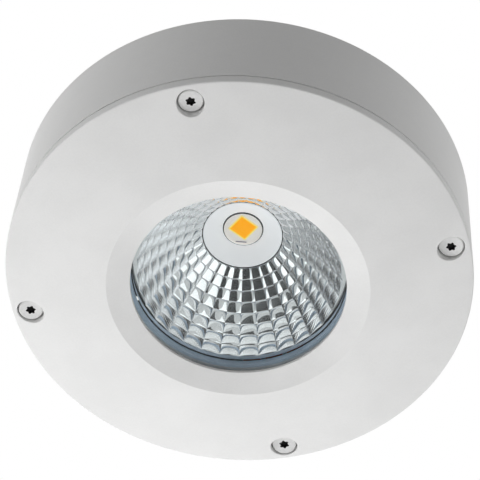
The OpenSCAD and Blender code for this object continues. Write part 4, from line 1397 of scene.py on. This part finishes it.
@dataclass(frozen=True)
class Reflector:
    """Metallised bowl of pillowed facets in columns and rows."""

    neck_r: float = 14.2
    neck_z: float = -14.9
    mouth_r: float = 35.4
    mouth_z: float = -37.74
    bend: float = 26.7
    columns: int = 33
    rows: int = 8
    turn: float = 4.45
    bulge: float = 0.38
    crown: float = 0.08
    roll: float = 0.05
    wall: float = 1.1

    @property
    def start(self) -> float:
        """Angle of the profile at the neck, so that its chord ends at the mouth."""
        rise = atan2(self.neck_z - self.mouth_z, self.mouth_r - self.neck_r)
        return rise - radians(self.bend) / 2

    def angle(self, t: Array) -> Array:
        """Angle of the profile at a share of its length."""
        return self.start + radians(self.bend) * t

    def section(self, t: Array) -> tuple[Array, Array]:
        """Radius and height of the profile, an arc of even bend, at a share of its length.

        Args:
            t: Share of the length, 0 at the neck.

        Returns:
            Radii and heights.
        """
        chord = hypot(self.mouth_r - self.neck_r, self.mouth_z - self.neck_z)
        radius = chord / (2 * sin(radians(self.bend) / 2))
        a = self.angle(t)
        return (self.neck_r + radius * (np.sin(a) - sin(self.start)),
                self.neck_z - radius * (cos(self.start) - np.cos(a)))

    def facet(self, u: Array, t: Array, column: int, border: bool = False) -> Array:
        """Points of a column's facets.

        Across a column the base is the straight line between the bowl's points at the
        column's two edges. The facet stands out of it towards the axis, along the profile's
        normal, by a low pillow across the column that grows with the radius, plus another
        along each row, which is nothing at the border of two rows.

        Args:
            u: Place across the column, -1 to 1.
            t: Share of the profile's length.
            column: Number of the column.
            border: True at a border of two rows.

        Returns:
            Points.
        """
        r, z = self.section(t)
        a = self.angle(t)
        half = pi / self.columns
        out = r / self.mouth_r * self.pillow(u, self.bulge)
        if not border:
            out = out + self.pillow(2 * (t * self.rows % 1) - 1, self.crown)
        middle = radians(self.turn) + (2 * column + 1) * half
        x, y = r * cos(half) - out * np.sin(a), r * sin(half) * u
        return np.stack([x * cos(middle) - y * sin(middle), x * sin(middle) + y * cos(middle),
                         z - out * np.cos(a)], -1)

    def pillow(self, place: Array, height: float) -> Array:
        """Height of a pillow: a parabola plus a border that rolls off by the eighth power."""
        return height * (1 - place**2) + self.roll * (1 - place**8)

    def steps(self) -> Array:
        """Places across a column, closer together towards its borders."""
        return np.sin(np.linspace(-1, 1, 13) * pi / 2)

    def build(self) -> None:
        """Makes the reflector: its facets, the mirror face at the mouth, and the dark outer wall and face
        at the neck.
        """
        piece = Piece("facet_reflector", Body.LAMP, "reflector_mirror")
        u = self.steps()
        sunk = 1e-3
        v = 0.5 + 0.5 * np.sin(np.linspace(-1, 1, 10) * pi / 2)
        v[0], v[-1] = sunk, 1 - sunk
        for column in range(self.columns):
            for row in range(self.rows):
                patch = surface(lambda a, b, c=column: self.facet(a, b, c), u, (row + v) / self.rows)
                points = patch.points.reshape(len(u), len(v), 3).copy()
                for place, border in ((0, row), (-1, row + 1)):
                    points[:, place] = self.edge(u, border / self.rows, column)
                piece.add(grid(points, patch.normals.reshape(points.shape)))
        piece.add(self.rim(1.0, Facing.DOWN, 0), self.rim(0.0, Facing.UP, 1))
        t = np.linspace(0, 1, 25)
        r, z = self.section(t)
        a = self.angle(t)
        outer = Profile(np.column_stack([r + self.wall / np.sin(a), z]),
                        np.column_stack([np.sin(a), np.cos(a)]))
        piece.add(carry(outer, self.rim_loop(), 1))
        piece.make(["metallised", "bare_moulding"], "reflector")

    def edge(self, u: Array, t: float, column: int) -> Array:
        """Points of a facet's edge at the border between two rows, where the row adds nothing."""
        return self.facet(u, np.full(len(u), t), column, True)

    def rim_loop(self) -> Loop:
        """Outline round the axis with the facets' steps, so that faces meet point to point."""
        half = pi / self.columns
        u = self.steps()[:-1]
        a = (radians(self.turn) + (2 * np.arange(self.columns)[:, None] + 1) * half + u * half).ravel()
        return Loop(np.zeros((len(a), 2)), np.stack([np.cos(a), np.sin(a)], 1))

    def rim(self, t: float, facing: Facing, finish: int) -> Patch:
        """Face between the scalloped edge of the facets and the round outer edge.

        Args:
            t: Share of the profile's length, 0 at the neck or 1 at the mouth.
            facing: Which way the face looks.
            finish: Index of its material.

        Returns:
            The patch.
        """
        u = self.steps()[:-1]
        inner = np.concatenate([self.edge(u, t, c) for c in range(self.columns)])
        share = np.array([t])
        (r,), (z,) = self.section(share)
        outer = level(self.rim_loop().at(r + self.wall / sin(self.angle(share)[0])), z)
        near, far = (inner, outer) if facing is Facing.UP else (outer, inner)
        return strip(near, far, np.array([0.0, 0.0, facing.value]), finish)


@dataclass(frozen=True)
class LightSource:
    """White holder with its cone and hole, the board under it and the lit layer."""

    holder_r: float = 22.5
    back_z: float = -9.0
    face_z: float = -14.9
    hole_r: float = 7.1
    lip_z: float = -11.2
    cone_r: float = 13.75
    gap_r: float = 14.2
    gap_h: float = 0.7
    ring_in: float = 16.28
    ring_out: float = 18.27
    ring_h: float = 0.8
    pocket_half: float = 9.6
    pocket_z: float = -10.4
    screw_x: float = 19.3
    screw_z: float = -11.4
    bore_r: float = 2.95
    hole_screw_r: float = 1.8
    board_z: float = -10.3
    board_half: float = 9.5
    pad_z: float = -9.3
    layer_half: float = LIT_HALF
    layer_t: float = 0.15
    dam_w: float = 0.42
    turn: float = LIT_TURN
    shade_w: float = 0.4
    shade_shift: float = 0.3
    solder_low: Pair = (-2.2, 5.85)
    solder_high: Pair = (1.6, 6.35)

    def plate(self, half: float, low: float, high: float, radius: float, corner: float,
              finish: int = 0) -> list[Patch]:
        """A square plate about the axis, turned as the board is, with its half width."""
        made = box((-half, -half, low), (half, half, high), radius, finish, corner)
        return [p.turned(self.turn) for p in made]

    def build(self, heading: float) -> None:
        """Makes the holder, the board with its dam, the lit layer and the pad.

        Args:
            heading: Turn of the photograph's frame about the lamp's axis, in degrees.
        """
        self.build_holder()
        top = self.board_z
        layer = Piece("lit_square", Body.LAMP, "phosphor")
        layer.add(self.plate(self.layer_half, top - self.layer_t, top, 0.06, 0.5))
        layer.make(["phosphor"], "led_phosphor")
        board = Piece("source_board", Body.LAMP, "led_board_metal")
        board.add(self.plate(self.board_half, top, self.pad_z, 0.12, 0.6),
                  self.plate(self.layer_half + self.dam_w, top - 0.09, top + 0.01, 0.04, 0.7, 1))
        solder = box((*self.solder_low, top - 0.03), (*self.solder_high, top + 0.01), 0.02, 2, 0.25)
        board.add([p.turned(heading) for p in solder])
        board.make(["board_metal", "clear_dam", "solder"], "led_board")
        dress("thermal_pad", "pad_grey")
        # Painted shade, not a part: a black ring under the hole's lip, its inner edge set off away from the
        # camera so it is widest on the camera's side.
        shade = Piece("hole_shade", Body.LAMP, "dark_rubber")
        way = radians(heading + 90)
        shift = (self.shade_shift * cos(way), self.shade_shift * sin(way))
        outer_r = self.hole_r - 0.02
        inner = ring_loop(MEDIUM, shift).at(outer_r - self.shade_w)
        for lift, facing in ((0.12, Facing.DOWN), (0.18, Facing.UP)):
            shade.add(sheet(ring_loop(MEDIUM).at(outer_r), [inner], self.lip_z + lift, facing))
        shade.make(["black_rubber_and_painted_shade"])

    def build_holder(self) -> None:
        """Makes the holder.

        Its wall and front are one turned profile with a dark groove where the reflector's neck
        meets it. Its back is a sheet with the board's square pocket, made in the pocket's own
        frame and turned with it."""
        piece = Piece("source_holder", Body.LAMP, "white_holder")
        rim, face, floor = self.holder_r - 0.2, self.face_z, self.face_z + self.gap_h
        ring = ring_loop()
        screws = [ring_loop(SMALL, (side * self.screw_x, 0)) for side in (-1, 1)]
        openings = [ring.at(self.gap_r), *(b.at(self.bore_r) for b in screws)]
        piece.add(lathe([(rim, self.back_z, 0), (self.holder_r, self.back_z, 0.2),
                         (self.holder_r, face, 0.2), (rim, face, 0)]),
                  sheet(ring.at(rim), openings, face, Facing.DOWN))
        for b in screws:
            piece.add(band([(self.bore_r, face, 0), (self.bore_r, self.screw_z, 0),
                            (self.hole_screw_r, self.screw_z, 0), (self.hole_screw_r, self.back_z, 0)], b))
        collar, start = face - self.ring_h, face + 0.2
        # The groove's black finish is painted shade in the gap between the holder and the reflector's neck.
        piece.add(lathe([(self.gap_r, face, 0), (self.gap_r, floor, 0), (self.cone_r, floor, 0),
                         (self.cone_r, start, 0)], finish=1),
                  lathe([(self.cone_r, start, 0), (self.cone_r, face, 0.15), (self.cone_r - 0.4, face, 0.2),
                         (self.hole_r, self.lip_z, 0.22), (self.hole_r, self.pocket_z, 0)]),
                  lathe([(self.ring_out, face, 0), (self.ring_out, collar, 0.2),
                         (self.ring_out - 0.8, collar, 0.15), (self.ring_in, face, 0)]))
        a, corner = radians(self.turn), 0.4
        pocket = corner_loop(self.pocket_half - corner, self.pocket_half - corner)
        holes = [ring_loop(SMALL, (side * cos(a), -side * sin(a))).at(self.hole_screw_r)
                 for side in (-self.screw_x, self.screw_x)]
        back = [sheet(ring.at(rim), [pocket.at(corner), *holes], self.back_z, Facing.UP),
                band([(corner, self.pocket_z, 0), (corner, self.back_z, 0)], pocket),
                sheet(pocket.at(corner), [ring.at(self.hole_r)], self.pocket_z, Facing.UP)]
        piece.add([p.turned(self.turn) for p in back])
        piece.make(["white_moulding", "black_rubber_and_painted_shade"], "led_holder")


@dataclass(frozen=True)
class ScrewSet:
    """Alike screws of one node: where they stand, and their sizes."""

    name: str
    node: str
    body: Body
    places: Sequence[Pair]
    seat: float
    head: Pair
    shank: Pair
    socket_r: float
    hangs: bool = True

    def build(self) -> None:
        """Makes the screws. A set whose heads don't hang down stands on its seat, mirrored."""
        piece = Piece(self.name, self.body, "screw_steel")
        for x, y in self.places:
            patches = screw(*self.head, *self.shank, self.socket_r)
            piece.add([(p if self.hangs else p.flipped()).moved(x, y, self.seat) for p in patches])
        piece.make(["plated_steel", "socket_painted_shade"], self.node)


@dataclass(frozen=True)
class Driver:
    """Driver: open moulded case with lugs, rails, lid, circuit board and its large parts."""

    half: Pair = (41.05, 14.0)
    mid_y: float = -45.5
    back_z: float = Drum.back_z
    open_z: float = -21.9
    lid_z: float = -23.5
    wall: float = 1.6
    corner: float = 2.0
    lug: Pair = Drum.lug
    lug_r: float = 4.5
    lug_z: float = -9.0
    lug_t: float = 2.5
    screw_r: float = 1.8
    rail_z: float = -8.1
    rail_w: float = 2.0
    circuit_z: float = -9.7
    capacitors: Pair = (24.05, 14.05)
    capacitor_r: float = 4.0
    part_low: float = -20.7
    core_x: float = -6.55

    def build(self) -> None:
        """Makes the case and its parts."""
        self.build_case()
        self.build_lid()
        dress("driver_circuit", "solder_mask")
        core = Piece("transformer", Body.LAMP, "transformer_tape")
        x, y, z = self.core_x, self.mid_y - 1, (self.part_low + self.circuit_z) / 2
        # The core's four bars: left, right, low and high from its middle.
        for left, right, low, high in ((-8.5, 8.5, -5.5, -2.6), (-8.5, 8.5, 2.6, 5.5),
                                       (-8.5, -5.8, -5.2, 5.2), (5.8, 8.5, -5.2, 5.2)):
            core.add(box((x + left, y - 7, z + low), (x + right, y + 7, z + high), 0.4))
        core.add(box((x - 6.5, y - 8.5, z - 2.5), (x + 6.5, y + 8.5, z + 4.5), 0.9, 1))
        core.make(["ferrite", "transformer_tape"], "driver_transformer")
        cans = Piece("capacitors", Body.LAMP, "capacitor_sleeve")
        r, low, top = self.capacitor_r, self.part_low, self.circuit_z
        crimp, end = r - 0.35, r - 0.8
        for at in self.capacitors:
            spot = (at, self.mid_y - 5)
            cans.add(lathe([(r - 1.2, top, 0), (r, top, 0.4), (r, top - 1.2, 0.2), (crimp, top - 1.6, 0.2),
                            (r, top - 2.0, 0.2), (r, low, 0.5), (end, low, 0)], spot, SMALL),
                     lathe([(end, low, 0), (end, low + 0.15, 0), (0.0, low + 0.15, 0)], spot, SMALL, 1),
                     disc(ring_loop(SMALL, spot), r - 1.2, top, Facing.UP))
        cans.make(["capacitor_sleeve", "plated_steel"], "driver_capacitors")

    def outline(self, inset: float) -> Loop:
        """Outline of the case, with its corner radius an inset from the outer wall."""
        return corner_loop(self.half[0] - inset, self.half[1] - inset, (0.0, self.mid_y))

    def build_case(self) -> None:
        """Makes the case as one section carried round a rounded rectangle, with lugs and rails."""
        piece = Piece("driver_box", Body.LAMP, "driver_plastic")
        loop = self.outline(self.corner)
        outer, inner = self.corner, self.corner - self.wall
        floor = self.back_z - self.wall
        piece.add(band([(outer - 0.5, self.back_z, 0), (outer, self.back_z, 0.5),
                        (outer, self.open_z, 0.25), (inner, self.open_z, 0.25), (inner, floor, 0)], loop),
                  disc(loop, outer - 0.5, self.back_z, Facing.UP), disc(loop, inner, floor, Facing.DOWN))
        wide, deep = self.half[0] - self.wall, self.half[1] - self.wall
        for side in (-1, 1):
            near, far = sorted((side * deep, side * (deep - self.rail_w)))
            piece.add(box((-wide, self.mid_y + near, self.rail_z), (wide, self.mid_y + far, floor), 0.2))
            piece.add(self.build_lug(side))
        piece.make(["driver_plastic"], "driver_case")

    def build_lid(self) -> None:
        """Makes the lid: a rounded plate with a sunk middle panel."""
        piece = Piece("driver_cover", Body.LAMP, "driver_plastic")
        loop = self.outline(self.corner)
        panel = self.outline(5)
        low, sunk = self.lid_z, self.lid_z + 0.35
        piece.add(band([(self.corner - 0.2, self.open_z, 0), (self.corner, self.open_z, 0.15),
                        (self.corner, low, 0.5), (self.corner - 1, low, 0)], loop),
                  sheet(loop.at(self.corner - 1), [panel.at(1.3)], low, Facing.DOWN),
                  band([(1.3, low, 0), (1.0, sunk, 0.15), (0.6, sunk, 0)], panel),
                  disc(panel, 0.6, sunk, Facing.DOWN),
                  disc(loop, self.corner - 0.2, self.open_z, Facing.UP))
        piece.make(["driver_plastic"], "driver_lid")

    def build_lug(self, side: float) -> list[Patch]:
        """A mounting lug: a flat plate with a round end and a screw hole, run into the wall.

        Args:
            side: 1 for the lug at the wall towards higher X, or -1.

        Returns:
            The patches.
        """
        x, y, radius, bore, inset = side * self.lug[0], self.lug[1], self.lug_r, self.screw_r, 0.25
        low, high = self.lug_z, self.lug_z + self.lug_t
        plate = corner_loop(0.6, 0.0, (x - side * 0.6, y), 12)
        hole = ring_loop(SMALL, (x, y))
        face, mouth = plate.at(radius - inset), [hole.at(bore)]
        return [band([(radius - inset, high, 0), (radius, high, inset), (radius, low, inset),
                      (radius - inset, low, 0)], plate),
                sheet(face, mouth, low, Facing.DOWN), sheet(face, mouth, high, Facing.UP),
                band([(bore, low, 0), (bore, high, 0)], hole)]


@dataclass(frozen=True)
class Terminals:
    """Terminal block: its moulded body, three levers and brass contacts."""

    pitch: float = 8.0
    lever_w: float = 6.2
    pivot_y: float = 41.5
    pivot_z: float = -15.5
    hub_r: float = 2.0
    pin_r: float = 1.0
    pin_w: float = 7.6
    plate_low: float = -17.5
    plate_t: float = 2.5
    end_y: float = 56.5

    def build(self) -> None:
        """Dresses the block and contacts, and makes the levers."""
        dress("terminal_block", "terminal_grey", 0.25)
        dress("terminal_contacts", "brass", 0.2)
        for name, pole in (("neutral", 0), ("live", 1), ("earth", -1)):
            self.build_lever(name, pole * self.pitch)

    def build_lever(self, name: str, x: float) -> None:
        """Makes a lever: a hub with pivot pins, and a plate with a ribbed finger pad.

        Args:
            name: Name of its pole.
            x: Place of its middle.
        """
        piece = Piece(f"lever_{name}_handle", Body(f"lever_{name}"), "lever_plastic")
        half, high = self.lever_w / 2, self.plate_low + self.plate_t
        piece.add(self.across(self.hub_r, half, x), self.across(self.pin_r, self.pin_w / 2, x))
        piece.add(box((x - half, self.pivot_y, self.plate_low), (x + half, self.end_y, high), 0.35, 0, 0.6))
        for y in (self.end_y - 2.7, self.end_y - 1.7, self.end_y - 0.7):
            piece.add(box((x - half + 0.4, y - 0.3, self.plate_low - 0.5),
                          (x + half - 0.4, y + 0.3, self.plate_low + 0.3), 0.2))
        piece.make(["lever_orange"], f"terminal_lever_{name}")

    def across(self, radius: float, half: float, x: float) -> Patch:
        """A rounded drum along X at the pivot.

        Its points are a turned profile whose axis is laid along X: a point at distance r,
        angle a and height h goes to (h, r cos a, r sin a).

        Args:
            radius: Its radius.
            half: Half its length.
            x: Place of its middle.

        Returns:
            The patch.
        """
        lie = np.array([[0.0, 1.0, 0.0], [0.0, 0.0, 1.0], [1.0, 0.0, 0.0]])
        drum = [(0.0, half, 0), (radius, half, 0.2), (radius, -half, 0.2), (0.0, -half, 0)]
        patch = lathe(drum, count=MEDIUM // 2)
        points = patch.points @ lie + np.array([x, self.pivot_y, self.pivot_z])
        return Patch(points, patch.normals @ lie, patch.faces, patch.finish)


@dataclass(frozen=True)
class Wiring:
    """Insulated wires inside the lamp, and the earth terminal."""

    wire_r: float = 1.1
    level: float = -10.9
    earth: Pair = Drum.earth
    earth_turn: float = 47.0
    barrel_z: float = -8.4
    live: tuple[tuple[float, ...], ...] = (
        (8, 44.1), (8, 38), (8, 35), (13, 30), (26, 26), (37, 15), (44, 0), (49, -18), (50, -30),
        (48, -37), (44.5, -40), (41.05, -40), (36.05, -40))
    neutral: tuple[tuple[float, ...], ...] = (
        (0, 44.1), (0, 38), (0, 35), (8, 29), (23, 22), (33, 12), (40, -2), (45, -18), (46, -28),
        (45, -33), (41.05, -35), (36.05, -35))
    earth_start: tuple[tuple[float, ...], ...] = (
        (-8, 44.1), (-8, 38), (-8, 35), (-10, 32.5, -10.2), (-14, 30.5, -9.1))
    source: tuple[tuple[float, ...], ...] = (
        (9, -35.5), (9, -31.5), (8.6, -29.5), (7.4, -24.5), (7, -22.5), (7, -18.5))

    def barrel(self, distance: float) -> Triple:
        """Point on the axis of the earth terminal's barrel, at a distance from its screw."""
        a = radians(self.earth_turn)
        return (self.earth[0] + distance * cos(a), self.earth[1] + distance * sin(a), self.barrel_z)

    def route(self, points: Sequence[Sequence[float]], side: float = 1.0) -> Array:
        """A route's points, at the wires' level where they name none, mirrored if side is -1."""
        return np.array([(side * p[0], p[1], p[2] if len(p) > 2 else self.level) for p in points])

    def build(self) -> None:
        """Makes the wires, and dresses the earth terminal."""
        earth_route = (*self.earth_start, self.barrel(12), self.barrel(9))
        for name, slot, node, route in (
            ("live", "wire_brown", "live_wire", self.route(self.live)),
            ("neutral", "wire_blue", "neutral_wire", self.route(self.neutral)),
            ("source_plus", "wire_red", "led_wire_positive", self.route(self.source)),
            ("source_minus", "wire_black", "led_wire_negative", self.route(self.source, -1.0)),
        ):
            piece = Piece(f"{name}_lead", Body.LAMP, slot)
            piece.add(tube(spline(route, 6), self.wire_r))
            piece.make([slot], node)
        lead = tube(spline(self.route(earth_route), 6), self.wire_r)
        stripe = np.arange(len(lead.faces)) % 20 < 7
        piece = Piece("earth_lead", Body.LAMP, "wire_green_yellow")
        piece.add(Patch(lead.points, lead.normals, lead.faces[~stripe]),
                  Patch(lead.points, lead.normals, lead.faces[stripe], 1))
        piece.make(["wire_green", "wire_yellow"], "earth_wire")
        dress("earth_lug", "brass", 0.12)


@dataclass(frozen=True)
class BackRubber:
    """Rubber in the back wall: cable grommet, blanking plug and the ceiling screws' seals."""

    entry: Pair = Drum.entry
    entry_r: float = 10.1
    back_z: float = Drum.back_z
    flange_r: float = 12.2
    flange_z: float = -4.9
    waist_r: float = 9.2
    waist_z: float = -6.0
    nose_r: float = 6.0
    nose_z: float = -8.5
    bore_r: float = 4.0
    slot_x: float = Drum.slot_x
    slot_half: float = 2.4
    slot_r: float = Drum.slot_r
    seal_w: float = 3.0
    seal_t: float = 1.5

    def build(self) -> None:
        """Makes the rubber pieces."""
        for side, name, node in ((-1, "entry_grommet", "cable_grommet"),
                                 (1, "entry_plug", "blanking_plug")):
            at = (side * self.entry[0], self.entry[1])
            tip, nose = self.bore_r if side < 0 else 0.0, self.nose_z
            body = [(tip + 0.6, 0, 0), (self.entry_r, 0, 0.3), (self.entry_r, self.back_z, 0),
                    (self.flange_r, self.back_z, 0.3), (self.flange_r, self.flange_z, 0.4),
                    (self.waist_r, self.waist_z, 0.4), (self.nose_r, nose, 0.5), (tip + 0.4, nose, 0)]
            bore = [(tip + 0.4, nose, 0), (tip, nose, 0.3), (tip, -5.0, 0.2), (tip + 0.35, -4.4, 0.2),
                    (tip, -3.8, 0.2), (tip, 0, 0.4), (tip + 0.6, 0, 0)]
            ends = [bore] if side < 0 else [[(0.4, nose, 0), (0.0, nose, 0)], [(0.0, 0, 0), (0.6, 0, 0)]]
            piece = Piece(name, Body.LAMP, "dark_rubber")
            piece.add([lathe(part, at, MEDIUM) for part in (body, *ends)])
            piece.make(["black_rubber_and_painted_shade"], node)
        seals = Piece("slot_gaskets", Body.LAMP, "dark_rubber")
        high, low, hole = self.back_z, self.back_z - self.seal_t, self.slot_r
        out = hole + self.seal_w
        for side in (-1, 1):
            loop = corner_loop(self.slot_half, 0.0, (side * self.slot_x, 0.0), 12)
            seals.add(band([(hole + 0.2, high, 0), (out, high, 0.1), (out, low, 0.35),
                            (out - 1.0, low, 0.15), (out - 1.3, low + 0.25, 0.15),
                            (out - 1.6, low, 0.15), (hole, low, 0.35), (hole, high, 0.1),
                            (hole + 0.2, high, 0)], loop))
        seals.make(["black_rubber_and_painted_shade"], "slot_seals")


@dataclass(frozen=True)
class StudioCard(Look):
    """A soft lamp or a card that faces the downlight from a distance.

    Azimuth is in degrees round the axis, 0 to the photograph's right and 90 away from its
    camera. Elevation is in degrees above level. Lengths are metres. Glow is the brightness
    that lights the downlight, where white surroundings have 1. Seen is what a card shows in
    mirrors and through glass, where a lamp isn't seen at all.
    """

    name: str
    azimuth: float
    elevation: float
    away: float
    size: Pair
    glow: float
    seen: float = 0.0

    def wire(self, wires: Wires) -> Socket:
        """Wires a card: the camera sees white in its place, gloss and glass what it shows.

        Args:
            wires: The material's tree.

        Returns:
            The glow.
        """
        shown = wires.maths("MULTIPLY_ADD", wires.rays("Glossy", "Transmission"), self.seen - self.glow,
                            self.glow)
        glow = wires.maths("MAXIMUM", shown, wires.rays("Camera"))
        return wires.add("Emission", Color=WHITE, Strength=glow).outputs[0]


@dataclass(frozen=True)
class Floor(Look):
    """Pale floor far below the lamp, under the camera. Lengths are metres.

    It looks evenly lit through glass and darker in the glass's own shine. The camera sees it
    lifted towards white, with the shadow kept.
    """

    name: str = "floor_paint"
    dark: Triple = (219, 219, 220)
    light: Triple = (224, 224, 225)
    height: float = -2.7
    size: Pair = (14.0, 14.0)
    seen: float = 0.62
    mirrored: float = 0.1
    lift: float = 0.72

    def wire(self, wires: Wires) -> Socket:
        """Wires the paint, and an even glow over it for some rays.

        Args:
            wires: The material's tree.

        Returns:
            The mixed surface.
        """
        grain = GRAIN.use(wires, Scale=40.0, Fine=0.4)
        tone = wires.ramp(grain["Tone"], 0.2, 0.8)
        base = wires.blend(tone, linear(*self.dark), linear(*self.light))
        shader = wires.add("BsdfPrincipled", Base_Color=base, Roughness=0.8)
        glass, camera = wires.rays("Transmission"), wires.rays("Camera")
        glow = wires.maths("MULTIPLY_ADD", glass, self.seen - self.mirrored, self.mirrored)
        glow = wires.maths("MAXIMUM", glow, camera)
        even = wires.add("Emission", Color=WHITE, Strength=glow)
        share = wires.maths("MAXIMUM", wires.maths("MULTIPLY", camera, self.lift),
                            wires.rays("Glossy", "Transmission"))
        return wires.add("MixShader", in0=share, in1=shader.outputs[0], in2=even.outputs[0]).outputs[0]


@dataclass(frozen=True)
class Studio:
    """Camera at the photograph's angle, floor, soft lamps and pale surroundings."""

    rise: float = 54.3758
    roll: float = 4.8402
    heading: float = 16.455
    shift_x: float = -0.0043
    shift_y: float = -0.1619
    distance: float = 15.5688
    focal_px: float = 3651.85
    image_px: float = 480.0
    rim_r: float = 0.08
    rim_z: float = -0.0417
    floor: Floor = Floor()
    sky_level: float = 0.88
    sky_slope: float = 1.12
    sky_cap: float = 0.78
    sky_least: float = 0.02
    sky_toward: Pair = (94.5, 9.0)
    lamps: tuple[StudioCard, ...] = (
        StudioCard("key_lamp", 110, -32, 2.6, (2.4, 2.0), 2.6),
        StudioCard("side_lamp", 192, -27, 2.6, (2.0, 2.0), 1.5),
        StudioCard("front_lamp", 335, -66, 2.5, (1.6, 1.6), 1.05),
    )
    cards: tuple[StudioCard, ...] = (
        StudioCard("bright_card", 328, -50, 2.5, (2.2, 2.0), 0.8, 1.35),
        StudioCard("left_bright_card", 190, -38, 2.75, (1.3, 1.3), 0.6, 1.4),
        StudioCard("dark_card", 243, -49, 2.45, (2.7, 2.0), 0.1, 0.01),
    )

    def aim(self) -> Array:
        """The camera's right, up and view directions in the row frame.

        The view rises from level, then the camera rolls about it, and the whole turns about
        the lamp's axis.

        Returns:
            Three rows: right, up and view.
        """
        e, roll = radians(self.rise), radians(self.roll)
        view = np.array([0, cos(e), sin(e)])
        right = np.array([1.0, 0, 0])
        up = np.array([0, -sin(e), cos(e)])
        tilted = np.array([cos(roll) * right + sin(roll) * up,
                           -sin(roll) * right + cos(roll) * up, view])
        return tilted @ spin(self.heading)

    def direction(self, azimuth: float, elevation: float) -> Vector:
        """A direction from the lamp, of length one, by its degrees round the axis and above level."""
        a, e = radians(azimuth + self.heading), radians(elevation)
        return Vector((cos(a) * cos(e), sin(a) * cos(e), sin(e)))

    def build(self) -> None:
        """Makes the camera, the lamps, the floor and the world."""
        self.build_camera()
        self.build_world()
        paint = self.floor.material()
        self.stage_plane("floor", Vector((0, 0, self.floor.height)), Vector((0, 0, 1)),
                         self.floor.size, paint)
        for lamp in self.lamps:
            self.build_lamp(lamp)
        for card in self.cards:
            way = self.direction(card.azimuth, card.elevation)
            self.stage_plane(card.name, way * card.away, -way, card.size, card.material())
        bpy.context.scene.view_settings.view_transform = "Standard"
        log.info("studio ready")

    def build_camera(self) -> None:
        """Places the camera so that the rim projects as it does in the photograph."""
        right, up, view = self.aim()
        centre = np.array([0, 0, self.rim_z])
        place = centre + self.rim_r * (-self.shift_x * right - self.shift_y * up - self.distance * view)
        data = bpy.data.cameras.new("camera")
        data.sensor_width = 36.0
        data.lens = self.focal_px * data.sensor_width / self.image_px
        data.clip_start, data.clip_end = 0.05, 50.0
        camera = placed("camera", data)
        axes = Matrix(np.column_stack([right, up, -view]).tolist()).to_4x4()
        camera.matrix_world = Matrix.Translation(Vector(place)) @ axes
        bpy.context.scene.camera = camera

    def build_world(self) -> None:
        """Makes the world: white where the camera, gloss or glass sees it, and otherwise a
        soft light that grows towards one side up to a cap."""
        world = bpy.data.worlds.new("surroundings")
        bpy.context.scene.world = world
        world.use_nodes = True
        wires = Wires(world.node_tree)
        way = wires.add("TexCoord").outputs["Generated"]
        toward = self.direction(*self.sky_toward)
        along = wires.add("VectorMath", {"operation": "DOT_PRODUCT"}, in0=way, in1=tuple(toward))
        slope = wires.maths("MULTIPLY_ADD", along.outputs["Value"], self.sky_slope, self.sky_level)
        soft = wires.maths("MINIMUM", wires.maths("MAXIMUM", slope, self.sky_least), self.sky_cap)
        direct = wires.rays("Camera", "Glossy", "Transmission")
        strength = wires.maths("MULTIPLY_ADD", wires.maths("SUBTRACT", 1.0, direct), soft, direct)
        background = wires.add("Background", Color=WHITE, Strength=strength)
        wires.add("OutputWorld", Surface=background.outputs[0])

    def stage_plane(self, name: str, middle: Vector, facing: Vector, size: Pair,
                    material: Material) -> None:
        """Makes a flat stage piece.

        Args:
            name: Its name.
            middle: Its middle, in metres.
            facing: The way it faces.
            size: Its width and height, in metres.
            material: Its material.
        """
        turn = facing.to_track_quat("Z", "Y").to_matrix()
        half = [(size[0] / 2 * x, size[1] / 2 * y) for x, y in ((-1, -1), (1, -1), (1, 1), (-1, 1))]
        mesh = bpy.data.meshes.new(name)
        mesh.from_pydata([middle + turn @ Vector((x, y, 0)) for x, y in half], [], [(0, 1, 2, 3)])
        mesh.materials.append(material)
        plane = placed(name, mesh)
        plane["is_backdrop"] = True

    def build_lamp(self, card: StudioCard) -> None:
        """Adds a soft rectangular lamp that mirrors and glass don't see.

        Args:
            card: The lamp.
        """
        way = self.direction(card.azimuth, card.elevation)
        data = bpy.data.lights.new(card.name, "AREA")
        data.shape = "RECTANGLE"
        data.size, data.size_y = card.size
        data.energy = card.glow * pi * card.size[0] * card.size[1]
        lamp = placed(card.name, data)
        lamp.location = way * card.away
        lamp.rotation_mode = "QUATERNION"
        lamp.rotation_quaternion = way.to_track_quat("Z", "Y")
        lamp.visible_glossy = False
        lamp.visible_transmission = False


def main() -> None:
    """Builds the lamp piece by piece, dresses what stays, and makes the studio."""
    logging.basicConfig(level=logging.INFO, format="%(name)s: %(message)s")
    studio = Studio()
    studio.build()
    Drum().build()
    Cover().build()
    LensStack().build()
    Reflector().build()
    LightSource().build(studio.heading)
    small = {"head": (2.7, 2.0), "shank": (1.5, 5.5), "socket_r": 1.1}
    for screws in (
        ScrewSet("clamp_bolts", "clamp_ring_screws", Body.COVER, quarters(LensStack.screw_at, 0.5),
                 LensStack.clamp_z, head=(2.2, 1.6), shank=(1.25, 7.0), socket_r=1.0, hangs=False),
        ScrewSet("holder_bolts", "led_holder_screws", Body.LAMP, both_sides(LightSource.screw_x, 0),
                 LightSource.screw_z, **small),
        ScrewSet("driver_bolts", "driver_screws", Body.LAMP, both_sides(*Driver.lug),
                 Driver.lug_z, **small),
        ScrewSet("terminal_bolts", "terminal_screws", Body.LAMP, both_sides(*Drum.ear),
                 Driver.lug_z, **small),
        ScrewSet("earth_bolt", "earth_screw", Body.LAMP, [Drum.earth], -7.3, head=(3.5, 2.4),
                 shank=(2.0, 5.0), socket_r=1.6),
    ):
        screws.build()
    Driver().build()
    Terminals().build()
    Wiring().build()
    BackRubber().build()
    low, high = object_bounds()
    {"cad": [list(CAD_BOX[0]), list(CAD_BOX[1])], "scene": [list(low), list(high)]}


if __name__ == "__main__":
    main()
